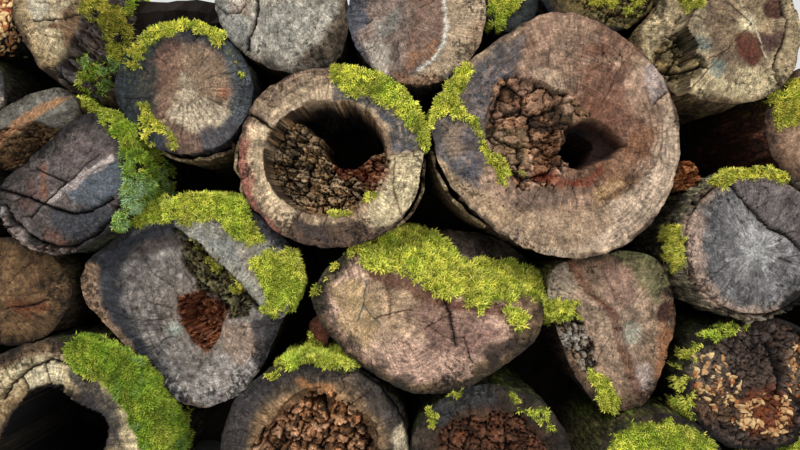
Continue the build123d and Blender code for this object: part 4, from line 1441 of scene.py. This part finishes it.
# The hole is pushed back and painted dark brown, near-black in its deepest part: painted shade.
log.co[:, 1] += 0.05 * shaded_hole
log.colour(shaded_hole, (38, 21, 16), 0.95)
log.colour(
    log.patch([(568, 132), (580, 128), (592, 132), (594, 158), (584, 166), (572, 162)]), (7, 5, 5), 0.97,
)
stain(
    log, [(532, 168), (553, 172), (572, 182), (588, 179), (600, 166), (604, 172), (590, 186), (560, 188),
          (535, 180)], (132, 62, 40), 0.75, soft=1.5, ragged=3, speckle=0.3,
)
swirl = log.patch(oval(552, 150, 14, 19, -15), soft=1.5, ragged=2)
rot(log, swirl, (0.012, 0.007), deep=0.008, dark=(30, 16, 12), light=(168, 120, 84), turn=50, seed=47)
stain(
    log, [(534, 66), (556, 70), (569, 90), (560, 93), (534, 78)], (180, 154, 128), 0.8, soft=1.5,
    ragged=1,
)
stain(
    log, [(642, 66), (656, 63), (666, 76), (666, 92), (655, 104), (648, 90)], (164, 148, 142), 0.9,
    soft=1.5, ragged=3, speckle=0.3,
)
log.crack([(655, 104), (667, 92)], wide=1.0, deep=0.006, dark=(70, 50, 44))
log.mossy(
    [(426, 128), (436, 104), (446, 84), (458, 66), (472, 66), (469, 82), (460, 98), (460, 106),
     (470, 113), (481, 128), (489, 151), (508, 164), (503, 180), (490, 167), (481, 147), (475, 126),
     (464, 119), (452, 116), (440, 118), (430, 134)], thick=0.006, hue=-0.15, ragged=3,
)
log.mossy(oval(512, 176, 14, 8), thick=0.004, cover=0.45, hue=-0.3)
log.finish(tufts=52000)


# Barked log: a grey sawn disc with a white pith and one long split, shrunk loose inside a thick
# cracked ring of bark that has moss on its top and left.
log = Log("barked_log", around=260, step=0.0036, rows=14, heart=(754, 252))
log.ringed(
    (0, 186, 184, 180), (0.15, 150, 147, 145), (0.4, 122, 119, 118), (0.75, 112, 109, 108),
    (0.84, 130, 120, 112), (0.905, 140, 118, 100), (0.915, 20, 16, 14), (0.935, 18, 14, 12),
    (0.95, 72, 60, 48), (1, 64, 56, 46), wander=0.012,
)
log.wear(rough=0.0012)
checks(log, 12, strength=0.5)
log.bark((150, 140, 116), ridge=0.009, green=0.6)
gap = soft_step(log.share, 0.9, 0.92) * (1 - soft_step(log.share, 0.925, 0.94)) * (log.kind == FRONT)
log.co[:, 1] += 0.018 * gap
rind = soft_step(log.share, 0.93, 0.95) * (log.kind == FRONT)
rot(log, rind, (0.018, 0.012), deep=0.01, dark=(30, 24, 20), light=(140, 124, 102))
stain(
    log, [(686, 215), (700, 200), (706, 240), (702, 270), (722, 298), (756, 308), (750, 318), (712, 306),
          (690, 274), (682, 244)], (172, 146, 128), 0.8, soft=4,
)
stain(
    log, [(732, 182), (770, 178), (800, 190), (806, 250), (788, 236), (770, 228), (762, 220), (748, 204)],
    (106, 96, 94), 0.85, soft=1.2, ragged=1,
)
stain(
    log, [(776, 306), (796, 290), (812, 288), (810, 310), (790, 318)], (16, 14, 14), 0.95, soft=1.5,
    ragged=2,
)
for k in range(16):
    turn = math.radians(22.5 * k + 6 * (k % 3))
    reach = 15 + 5 * (k % 4)
    log.crack(
        [(756 + 3 * math.cos(turn), 252 + 3 * math.sin(turn)),
         (756 + reach * math.cos(turn), 252 + reach * math.sin(turn))], wide=0.6, deep=0.0,
        dark=(212, 212, 206), strength=0.5,
    )
stain(
    log, [(702, 258), (712, 230), (728, 214), (722, 250), (736, 290), (722, 290)], (92, 90, 91), 0.5,
    speckle=0.4,
)
log.crack(
    [(728, 182), (742, 199), (752, 209), (763, 221), (771, 229), (787, 235), (794, 243), (804, 252)],
    wide=1.5, deep=0.018,
)
log.crack([(778, 258), (784, 260), (790, 263)], wide=0.9, deep=0.004, dark=(50, 46, 46))
log.mossy([(664, 230), (681, 224), (682, 246), (681, 272), (670, 270), (665, 250)], thick=0.007, hue=-0.3)
log.mossy(
    [(710, 178), (724, 170), (742, 165), (766, 163), (786, 172), (790, 184), (766, 179), (742, 181),
     (722, 186)], thick=0.007, hue=-0.35,
)
log.finish(tufts=46000)


# Broken pole: the snapped end of an orange-brown pole, all torn fibres, pushed deep into the gap
# beside the widest log.
log = Log("broken_pole", around=110, step=0.003, rows=12)
log.ringed((0, 190, 120, 72), (0.7, 170, 108, 66), (1, 110, 78, 48))
log.wear(rough=0.002)
log.bark((150, 112, 66), ridge=0.002, green=0.1)
rot(log, log.kind == FRONT, (0.02, 0.005), deep=0.012, dark=(110, 60, 34), light=(206, 134, 84), turn=30)
log.finish()


# Torn billet: a small piece split from a thicker log, with a grey weathered face above and a torn
# side of tan fibres below.
log = Log("torn_billet", around=200, step=0.003, rows=14)
log.ringed((0, 118, 116, 104), (0.7, 112, 108, 98), (1, 84, 78, 68))
log.wear(rough=0.001)
log.bark((84, 70, 52))
low_side = log.patch(
    [(-30, 130), (4, 128), (45, 122), (66, 130), (96, 118), (100, 160), (40, 200), (-30, 200)], soft=1.5,
    ragged=3, everywhere=True,
)
rot(log, low_side, (0.07, 0.004), deep=0.008, dark=(34, 24, 17), light=(152, 118, 82), turn=28)
stain(
    log, [(-10, 142), (12, 122), (44, 102), (76, 94), (52, 108), (26, 126), (0, 148)], (160, 118, 84),
    0.9, soft=1.5, ragged=2,
)
log.mossy([(76, 98), (92, 98), (104, 112), (96, 118), (84, 110)], thick=0.005, hue=0.2)
log.finish(tufts=42000)


# Small grey log: a weathered grey end whose lower edge has cracked open. It lies high at the left edge
# of the view.
log = Log("small_grey_log", around=120, step=0.004, rows=12)
log.ringed((0, 120, 122, 124), (0.6, 112, 114, 118), (0.85, 104, 104, 106), (1, 60, 56, 54))
log.wear()
checks(log, 6, strength=0.6)
log.bark((60, 54, 50))
stain(log, [(-20, 100), (8, 96), (16, 112), (0, 128), (-20, 128)], (188, 172, 150), 0.9)
for across in (-14, -8, -2, 4):
    log.crack(
        [(across, 98), (across - 3, 112), (across - 8, 124)], wide=0.8, deep=0.003, dark=(90, 74, 60),
        strength=0.7,
    )
log.finish()


# Blue-rimmed log: a round log stained blue-black along its rim by mould, with a pale wedge of clean
# wood at the lower right of the heart. Moss lies along its top and in the notch at the lower left.
log = Log("blue_rimmed_log", around=230, step=0.0036, rows=12, heart=(186, 86))
log.ringed(
    (0, 142, 118, 96), (0.4, 140, 116, 94), (0.62, 132, 108, 88), (0.74, 92, 82, 76), (0.85, 62, 65, 70),
    (1, 42, 43, 47),
)
log.wear()
checks(log, 10, strength=0.5)
log.bark((52, 50, 52))
stain(
    log, [(117, 90), (122, 60), (142, 36), (166, 30), (164, 70), (162, 104), (156, 132), (140, 134),
          (124, 112)], (40, 47, 47), 0.95, soft=6, ragged=8, speckle=0.15,
)
stain(
    log, [(164, 38), (182, 42), (182, 62), (176, 86), (170, 108), (160, 112), (157, 88), (160, 60)],
    (110, 78, 66), 0.65, soft=5, ragged=7, speckle=0.25,
)
stain(
    log, [(181, 54), (200, 42), (222, 58), (232, 76), (231, 90), (217, 100), (206, 112), (188, 84)],
    (136, 114, 93), 0.8, soft=4, speckle=0.3,
)
stain(
    log, [(216, 38), (236, 48), (250, 75), (250, 100), (240, 126), (226, 142), (219, 136), (226, 118),
          (232, 98), (231, 76), (222, 56)], (80, 84, 86), 0.85, soft=4, speckle=0.3,
)
stain(
    log, [(181, 74), (206, 106), (230, 98), (228, 112), (220, 123), (206, 128), (198, 133), (184, 128),
          (172, 122), (169, 112), (176, 94)], (200, 184, 156), 0.82, soft=4, ragged=5, speckle=0.15,
)
stain(log, oval(224, 92, 7, 6), (142, 88, 62), 0.6, soft=2.5, ragged=3)
stain(
    log, [(168, 128), (196, 128), (202, 140), (204, 154), (182, 156), (168, 142)], (140, 110, 90), 0.7,
    speckle=0.3,
)
stain(log, [(198, 130), (222, 122), (238, 126), (220, 148), (204, 150)], (82, 78, 80), 0.85)
for k in range(12):
    turn = math.radians(8 + 11 * k)
    log.crack(
        [(186 + 16 * math.cos(turn), 86 + 16 * math.sin(turn)),
         (186 + 46 * math.cos(turn), 86 + 46 * math.sin(turn))], wide=0.6, deep=0.0015, dark=(96, 76, 60),
        strength=0.45,
    )
log.mossy(
    [(144, 34), (150, 22), (164, 12), (184, 8), (204, 12), (219, 26), (228, 44), (219, 47), (206, 36),
     (195, 29), (182, 30), (168, 32), (158, 42), (147, 52)], thick=0.007, hue=-0.1,
)
log.mossy(
    [(140, 104), (147, 103), (154, 118), (166, 128), (178, 134), (179, 150), (160, 148), (148, 142),
     (138, 124)], thick=0.005, hue=-0.5, cover=0.75,
)
log.mossy([(120, 60), (140, 36), (150, 46), (146, 70), (130, 84)], thick=0.003, hue=-0.6, cover=0.4)
log.mossy([(226, 46), (242, 62), (248, 76), (242, 78), (230, 62)], thick=0.003, hue=-0.3, cover=0.5)
log.finish(tufts=50000)


# Yellow-moss log: red-brown bark with yellow moss down the one side that can be seen. It rests at the
# right end of the upper rows.
log = Log("yellow_moss_log", around=130, step=0.004, rows=14)
log.ringed((0, 150, 122, 100), (0.7, 140, 112, 90), (0.92, 92, 70, 54), (1, 58, 44, 36))
log.wear()
checks(log, 7, strength=0.6)
log.bark((86, 52, 40))
log.mossy([(772, 100), (788, 82), (806, 80), (812, 110), (796, 124), (780, 128)], thick=0.007, hue=-0.5)
log.finish(tufts=42000)


# Split-end log: its end was split rather than sawn, so that a pale face stands at the left, and the
# flaking, mossy bark slopes away at the right.
log = Log("split_end_log", around=230, step=0.0038, rows=14, heart=(62, 10))
log.ringed((0, 206, 188, 152), (0.5, 200, 180, 142), (0.85, 178, 152, 112), (1, 70, 56, 44))
log.wear(rough=0.002)
log.bark((78, 70, 62), ridge=0.009, green=0.9)
stain(
    log, [(52, 71), (78, 30), (82, -6), (96, -40), (170, -40), (166, 20), (128, 72), (100, 98), (82, 96),
          (68, 88)], (66, 60, 56), 0.97, soft=2, ragged=2, speckle=0.2,
)
stain(log, [(26, -10), (50, -10), (46, 10), (34, 20)], (182, 176, 158), 0.7)
stain(log, [(62, 14), (78, 4), (78, 26), (66, 44), (60, 30)], (120, 74, 44), 0.7)
stain(log, oval(53, 26, 5, 3), (96, 58, 34), 0.9, soft=1.5, ragged=1)
log.crack([(34, 20), (50, 20), (66, 18), (80, 14)], wide=1.2, deep=0.006, dark=(44, 34, 26))
log.crack([(36, 2), (54, 4), (72, 0)], wide=0.7, deep=0.002, dark=(140, 116, 84), strength=0.7)
log.crack([(40, 34), (52, 38), (66, 38)], wide=0.7, deep=0.002, dark=(130, 100, 66), strength=0.7)
flakes = log.patch(
    [(54, 72), (80, 30), (84, -6), (96, -40), (172, -40), (168, 22), (130, 74), (100, 100), (82, 98),
     (68, 90)], soft=2, ragged=2, everywhere=True,
)
rot(log, flakes, (0.02, 0.013), deep=0.01, dark=(40, 36, 36), light=(128, 112, 102), turn=60)
log.mossy(
    [(80, -20), (112, -20), (118, 0), (128, 24), (132, 48), (122, 66), (112, 66), (104, 40), (92, 20),
     (82, 14)], thick=0.006, hue=-0.45, cover=0.7,
)
log.mossy(
    [(88, 56), (110, 58), (118, 72), (104, 92), (84, 96), (74, 86)], thick=0.005, hue=0.55, cover=0.7,
)
log.mossy([(116, -10), (150, -6), (156, 10), (146, 24), (126, 20)], thick=0.005, hue=0.6, cover=0.35)
log.mossy([(58, 60), (70, 50), (86, 44), (96, 56), (84, 66), (66, 70)], thick=0.003, hue=0.8, cover=0.3)
log.finish(tufts=46000)


# Crusted log: blue-black bark under a salmon crust of fungi, with a small cream bracket below it. It
# lies at the upper left corner, where only its side shows.
log = Log("crusted_log", around=140, step=0.004, rows=12, heart=(-30, 6))
log.ringed((0, 110, 82, 66), (0.6, 84, 66, 58), (0.85, 48, 46, 52), (1, 32, 34, 42))
log.wear(rough=0.003)
log.bark((50, 47, 46))
stain(
    log, [(-20, -20), (16, -20), (22, 10), (28, 36), (10, 56), (-20, 50)], (170, 86, 50), 0.8,
    speckle=0.2,
)
crusts = log.patch(
    [(-30, -20), (16, -20), (22, 10), (29, 34), (12, 57), (-30, 50)], soft=2, ragged=5, everywhere=True,
)
cream = log.patch(
    [(14, 70), (30, 76), (34, 92), (18, 96), (4, 84)], soft=2, ragged=3, everywhere=True,
) * 0.6
log.fungus = np.maximum(crusts, cream)
grow_fungi(log, log.finish(), density=11000)


# Pale sawn log: a dry grey-cream end with crossing marks of the saw, a dark split near its middle and
# a slanting brown edge at the lower right, split rather than sawn.
log = Log("pale_sawn_log", around=230, step=0.0036, rows=12, heart=(268, -22))
log.ringed(
    (0, 172, 164, 148), (0.5, 168, 160, 146), (0.85, 160, 152, 138), (0.95, 130, 122, 108),
    (1, 80, 72, 62),
)
log.wear(rough=0.001)
checks(log, 9, strength=0.5)
log.bark((74, 62, 52))
stain(
    log, [(198, -10), (226, 0), (248, 20), (252, 46), (236, 48), (214, 34), (200, 14)], (146, 146, 140),
    0.7, speckle=0.35,
)
stain(log, [(226, 0), (250, 2), (248, 14), (232, 12)], (140, 120, 104), 0.7)
stain(
    log, [(262, 8), (300, 0), (320, 16), (300, 44), (276, 56), (262, 36)], (150, 148, 138), 0.7,
    speckle=0.4,
)
for k in range(8):
    log.crack(
        [(258 + 9 * k, -4), (262 + 8 * k, 20), (262 + 6 * k, 52)], wide=0.7, deep=0.0008,
        dark=(134, 126, 108), strength=0.4,
    )
for k in range(5):
    log.crack(
        [(256, 6 + 10 * k), (290, 2 + 10 * k), (326, -8 + 10 * k)], wide=0.6, deep=0.0006,
        dark=(140, 132, 116), strength=0.35,
    )
stain(
    log, [(320, 42), (334, 18), (346, -6), (362, 0), (352, 30), (332, 56), (306, 68), (296, 60)],
    (104, 88, 72), 0.95, soft=1.5, ragged=2, speckle=0.2,
)
log.crack([(256, -12), (257, 8), (255, 26), (249, 38), (248, 50)], wide=1.3, deep=0.012)
log.crack([(214, 2), (226, 14), (240, 12), (246, 4)], wide=0.9, deep=0.004, dark=(70, 60, 56))
log.finish()


# Speckled log: a brown, worm-eaten heart with a hard-edged crescent of pale sapwood at the right,
# sawn across and laid in the top row.
log = Log("speckled_log", around=240, step=0.0036, rows=12, heart=(404, 18))
log.ringed((0, 136, 116, 104), (0.5, 130, 112, 100), (0.85, 122, 104, 94), (1, 60, 56, 58))
log.wear(rough=0.0018)
checks(log, 11, strength=0.5)
log.bark((84, 76, 70))
stain(
    log, [(340, -10), (362, -6), (368, 16), (356, 36), (362, 62), (350, 52), (342, 24)], (72, 77, 86),
    0.85, soft=4,
)
stain(log, [(372, 24), (398, 4), (403, 20), (388, 38), (376, 40)], (146, 144, 134), 0.75, speckle=0.3)
stain(log, [(366, 46), (382, 40), (396, 62), (388, 76), (372, 66)], (186, 176, 160), 0.75, speckle=0.35)
stain(
    log, [(406, -6), (444, -6), (447, 30), (436, 58), (412, 68), (402, 50), (414, 24)], (116, 84, 66),
    0.65, speckle=0.5,
)
stain(log, [(410, 52), (436, 40), (444, 50), (424, 66), (408, 68)], (160, 108, 66), 0.6, speckle=0.75)
stain(
    log, [(438, -20), (486, -20), (488, 20), (480, 46), (462, 64), (440, 78), (412, 86), (404, 80),
          (428, 66), (443, 48), (446, 24)], (176, 153, 124), 0.92, soft=2, ragged=2, speckle=0.15,
)
log.crack(
    [(440, -14), (445, 6), (447, 26), (444, 42), (434, 58), (418, 70)], wide=1.6, deep=0.0,
    dark=(232, 228, 214), strength=0.75,
)
stain(log, [(396, 76), (420, 78), (446, 74), (438, 94), (400, 94)], (156, 116, 88), 0.7)
stain(log, [(462, 30), (486, 20), (486, 50), (468, 62)], (160, 128, 98), 0.6, speckle=0.3)
log.finish()


# Small mossy log: a thin dark round between two thick logs of the top row, with a tuft of moss that
# hangs on its end.
log = Log("small_mossy_log", around=130, step=0.004, rows=12)
log.ringed((0, 64, 66, 62), (0.7, 52, 56, 54), (1, 30, 34, 34))
log.wear()
log.bark((38, 44, 44))
log.mossy([(488, -20), (522, -20), (520, 4), (510, 18), (498, 12), (490, 4)], thick=0.008, hue=-0.2)
log.mossy([(490, 10), (506, 16), (506, 32), (496, 34), (488, 22)], thick=0.004, hue=0.3, cover=0.6)
log.finish(tufts=46000)


# Broken-edge log: cream wood with dark red stains, a curved split at the right and blue-green mould.
# Squared blocks have broken out of its left side.
log = Log("broken_edge_log", around=260, step=0.0034, rows=14, heart=(752, 24))
log.ringed(
    (0, 206, 190, 154), (0.2, 164, 142, 108), (0.5, 134, 114, 90), (0.72, 176, 156, 122),
    (0.92, 182, 162, 124), (1, 96, 78, 56),
)
log.wear(rough=0.0018)
checks(log, 9, strength=0.5)
log.bark((124, 104, 74))
stain(
    log, [(708, -10), (744, 12), (740, 32), (754, 62), (736, 66), (712, 52), (702, 26)], (104, 86, 70),
    0.85, speckle=0.35,
)
stain(
    log, [(692, 0), (706, 0), (708, 30), (712, 52), (704, 60), (690, 40)], (158, 146, 118), 0.7,
    speckle=0.3,
)
stain(
    log, [(736, 36), (748, 32), (762, 38), (764, 54), (752, 64), (740, 58)], (92, 48, 36), 0.9, soft=3,
    ragged=4,
)
stain(log, [(762, 4), (780, 0), (788, 18), (776, 24), (764, 16)], (76, 42, 34), 0.9, soft=3, ragged=4)
stain(log, [(756, 33), (782, 30), (785, 41), (770, 50), (758, 44)], (74, 50, 48), 0.85, soft=3, ragged=4)
stain(
    log, [(700, 62), (722, 74), (760, 68), (780, 84), (750, 98), (716, 88)], (196, 178, 138), 0.8,
    speckle=0.15,
)
stain(
    log, [(786, 10), (800, 0), (812, 40), (796, 72), (782, 84), (776, 62), (786, 40)], (160, 140, 108),
    0.85, speckle=0.2,
)
stain(log, oval(703, 41, 8, 8), (92, 108, 108), 0.8, speckle=0.4)
stain(log, oval(721, 70, 8, 7), (84, 110, 108), 0.8, speckle=0.4)
stain(log, oval(733, 78, 9, 6), (84, 66, 56), 0.7, speckle=0.4)
log.crack([(780, 2), (786, 20), (785, 38), (777, 56), (775, 68), (780, 84)], wide=1.5, deep=0.014)
log.crack([(753, 24), (744, 10), (738, -6)], wide=0.8, deep=0.001, dark=(214, 206, 184), strength=0.7)
log.crack([(756, 30), (764, 50), (770, 66)], wide=0.8, deep=0.001, dark=(214, 200, 170), strength=0.6)
cubes = log.patch(
    [(648, 60), (664, 38), (682, 30), (690, 50), (704, 58), (700, 76), (676, 84), (656, 76)], soft=1.5,
    ragged=2, everywhere=True,
)
# Painted shade, partly the dark rotten wood: the walls where the blocks broke out are painted dark brown.
log.colour(soft_step(log.brink, 0.006, 0.02), (38, 30, 21), 0.85)
rot(log, cubes, (0.036, 0.03), deep=0.016, dark=(22, 17, 12), light=(168, 144, 100), turn=-20)
log.crack([(684, 30), (687, 50), (690, 72)], wide=1.6, deep=0.016)
log.crack([(656, 72), (678, 74), (700, 66), (710, 66)], wide=1.6, deep=0.016)
log.mossy([(672, -12), (700, -12), (702, 6), (690, 12), (676, 4)], thick=0.005, hue=-0.4)
log.finish(tufts=46000)


# Fibrous log: an olive-brown end that has frayed into long fibres, with dark bark at the right. Only
# its lower edge hangs into the view.
log = Log("fibrous_log", around=200, step=0.004, rows=12, heart=(606, -30))
log.ringed((0, 112, 98, 60), (0.7, 100, 86, 54), (0.86, 70, 58, 40), (0.93, 34, 32, 34), (1, 30, 32, 38))
log.wear(rough=0.003)
log.bark((60, 56, 52))
fray = log.patch([(560, -40), (660, -40), (662, 10), (636, 28), (604, 24), (574, 4)], soft=2, ragged=4)
rot(log, fray, (0.03, 0.006), deep=0.008, dark=(44, 38, 26), light=(148, 128, 78), turn=-15)
log.mossy(
    [(590, 4), (616, 10), (640, 16), (650, 4), (640, -10), (600, -8)], thick=0.004, hue=-0.5, cover=0.4,
)
log.finish(tufts=36000)


# Loose bark: four curled sheets that have come away from their logs and lie in the gaps beside and
# under them, grey-brown and furrowed, pale where their front edges are torn.
for name in sorted(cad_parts):
    if not name.startswith("bark_"):
        continue
    low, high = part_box(name)
    sheet = bmesh.new()
    sheet.from_mesh(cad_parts[name].data)
    bmesh.ops.remove_doubles(sheet, verts=sheet.verts, dist=1e-5)
    bmesh.ops.dissolve_limit(sheet, angle_limit=0.02, verts=sheet.verts, edges=sheet.edges)
    cut = low[1] + 0.004
    stride = 0.006
    while cut < high[1] - 0.01:
        bmesh.ops.bisect_plane(
            sheet, geom=sheet.verts[:] + sheet.edges[:] + sheet.faces[:],
            plane_co=(0, cut, 0), plane_no=(0, 1, 0),
        )
        cut += stride
        stride *= 1.25
    bmesh.ops.triangulate(sheet, faces=sheet.faces)
    bmesh.ops.recalc_face_normals(sheet, faces=sheet.faces)
    data = bpy.data.meshes.new(name + "_skin")
    sheet.to_mesh(data)
    sheet.free()
    co = values_of(data.vertices, "co", 3)
    back = co[:, 1] - low[1]
    arc = np.stack((co[:, 0], 0 * back, co[:, 2]), 1)
    torn = 0.05 * (0.6 + lumps(arc, 0.03, 7)) * soft_step(-back, -0.12, 0.0)
    long_lumps = np.array((0.03, 0.12, 0.03))
    wave = lumps(co, long_lumps, 8)
    tint = paint((124, 100, 78)) * np.clip(1 + 0.55 * wave, 0.35, 1.9)[:, None]
    edge = soft_step(-back, -0.004, 0.0)[:, None]
    tint = tint * (1 - edge) + paint((182, 156, 124)) * edge
    co[:, 1] += torn
    co[:, 0] += 0.0015 * wave
    co[:, 2] += 0.0015 * lumps(co, long_lumps, 9)
    data.vertices.foreach_set("co", co.ravel())
    store(data, tint, grain=arc, sawn=0, bark=0.7, damp=0.3, spots=0.6)
    data.update()
    data.materials.append(wood_material)
    piece = bpy.data.objects.new(name + "_skin", data)
    bpy.context.scene.collection.objects.link(piece)
    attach(piece, "root")
    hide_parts(name)


# Bark crumbs: crumbled bark and rotten dust that have dropped through the stack and packed into the gaps
# between the logs, half way back, as a sheet painted near-black so that the deep gaps show as painted
# shade. They rest on the logs around them.
crumb_shade_fill_wide, crumb_shade_fill_high, crumb_shade_fill_thick = 3.0, 1.4, 0.26
crumb_shade_fill_back = -0.55
crumb_shade_fill = bmesh.new()
bmesh.ops.create_grid(crumb_shade_fill, x_segments=120, y_segments=56, size=0.5)
for vert in crumb_shade_fill.verts:
    vert.co = Vector((vert.co.x * crumb_shade_fill_wide, 0.0, (vert.co.y + 0.5) * crumb_shade_fill_high))
outer_line = []
for name, across, rise in (
    ("ground_log_left_end", 0, -0.1), ("ground_log_left_end", 0, 0.02), ("pole", 0, 0),
    ("second_row_log_left", 0, 0.02), ("third_row_log_left", 0, 0.05), ("small_grey_log", 0, 0.02),
    ("crusted_log", 0, 0), ("split_end_log", 0.06, 0.092), ("pale_sawn_log", -0.1, 0.06),
    ("pale_sawn_log", 0.07, 0.035), ("speckled_log", -0.07, 0.072), ("speckled_log", 0.08, 0.05),
    ("small_mossy_log", 0, 0.01), ("fibrous_log", -0.065, -0.04), ("fibrous_log", 0.1, -0.08),
    ("broken_edge_log", -0.07, 0.065), ("broken_edge_log", 0.08, 0.03),
    ("broken_edge_log", 0.12, -0.06), ("yellow_moss_log", -0.02, 0.08), ("yellow_moss_log", 0, 0),
    ("third_row_log_right", 0, 0.03), ("second_row_log_right", 0, 0.03),
    ("ground_log_right_end", 0, 0.02), ("ground_log_right_end", 0, -0.1),
):
    log_low, log_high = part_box(name)
    outer_line.append(((log_low[0] + log_high[0]) / 2 + across, (log_low[2] + log_high[2]) / 2 + rise))
places = np.array([(vert.co.x, vert.co.z) for vert in crumb_shade_fill.verts])
kept = depth_inside(places, outer_line) > 0
beyond = [vert for vert, keep in zip(crumb_shade_fill.verts, kept) if not keep]
bmesh.ops.delete(crumb_shade_fill, geom=beyond, context="VERTS")
bmesh.ops.solidify(crumb_shade_fill, geom=crumb_shade_fill.faces[:], thickness=crumb_shade_fill_thick)
bmesh.ops.recalc_face_normals(crumb_shade_fill, faces=crumb_shade_fill.faces)
data = bpy.data.meshes.new("bark_crumbs")
crumb_shade_fill.to_mesh(data)
crumb_shade_fill.free()
co = values_of(data.vertices, "co", 3)
middle = co[:, 1].mean()
# Near the top the sheet leans forward, so that the upper gaps also stay dark as painted shade.
forward = soft_step(co[:, 2], 1.1, 1.3)
taper = soft_step(depth_inside(co[:, ::2], outer_line), -0.01, 0.12) * (1 - 0.5 * forward)
co[:, 1] = crumb_shade_fill_back - 0.37 * forward + (co[:, 1] - middle) * taper
co[:, 1] += 0.02 * lumps(co, 0.05, 5)
co[:, 2] += 0.006 * lumps(co, 0.03, 4)
data.vertices.foreach_set("co", co.ravel())
# Near-black tint: painted shade in the gaps between the logs.
tint = paint((34, 27, 22)) * np.clip(1 + 0.5 * lumps(co, 0.02, 6), 0.3, 2)[:, None]
store(data, tint, grain=co, sawn=0, bark=0, damp=0, spots=0)
data.materials.append(wood_material)
piece = bpy.data.objects.new("bark_crumbs", data)
bpy.context.scene.collection.objects.link(piece)
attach(piece, "root")


# Floor, lights and view: a plain pale floor in even white light with two soft lamps, and a camera
# that stands level in front of the stack, at the eye from which all places are read.
floor_mesh = bmesh.new()
bmesh.ops.create_grid(floor_mesh, x_segments=1, y_segments=1, size=20)
floor_data = bpy.data.meshes.new("floor")
floor_mesh.to_mesh(floor_data)
floor_mesh.free()
floor = bpy.data.objects.new("floor", floor_data)
bpy.context.scene.collection.objects.link(floor)
floor_material = bpy.data.materials.new("floor")
floor_material.use_nodes = True
floor_look = floor_material.node_tree.nodes["Principled BSDF"].inputs
floor_look["Base Color"].default_value = (0.8, 0.8, 0.8, 1)
floor_look["Roughness"].default_value = 0.9
floor_data.materials.append(floor_material)
floor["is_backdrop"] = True

world = bpy.data.worlds.new("studio")
bpy.context.scene.world = world
world.use_nodes = True
surround = world.node_tree.nodes["Background"].inputs
surround["Color"].default_value = (1, 1, 1, 1)
surround["Strength"].default_value = 0.75


# A round soft lamp turned towards a place
def lamp(name, place, towards, size, power):
    data = bpy.data.lights.new(name, "AREA")
    data.shape = "DISK"
    data.size = size
    data.energy = power
    light = bpy.data.objects.new(name, data)
    light.location = place
    light.rotation_euler = (Vector(towards) - Vector(place)).to_track_quat("-Z", "Y").to_euler()
    bpy.context.scene.collection.objects.link(light)


lamp("key_light", (-1.2, -3.4, 3.6), (0, -0.9, 0.7), size=1.6, power=90)
lamp("fill_light", (2.6, -3.6, 1.8), (0, -0.9, 0.7), size=2.0, power=25)

camera_data = bpy.data.cameras.new("camera")
camera_data.sensor_width = 36
camera_data.lens = camera_data.sensor_width * view_steps / (2 * view_middle[0])
camera = bpy.data.objects.new("camera", camera_data)
camera.location = tuple(eye)
camera.rotation_euler = (math.pi / 2, 0, 0)
bpy.context.scene.collection.objects.link(camera)
bpy.context.scene.camera = camera
bpy.context.scene.view_settings.view_transform = "Standard"

low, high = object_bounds()
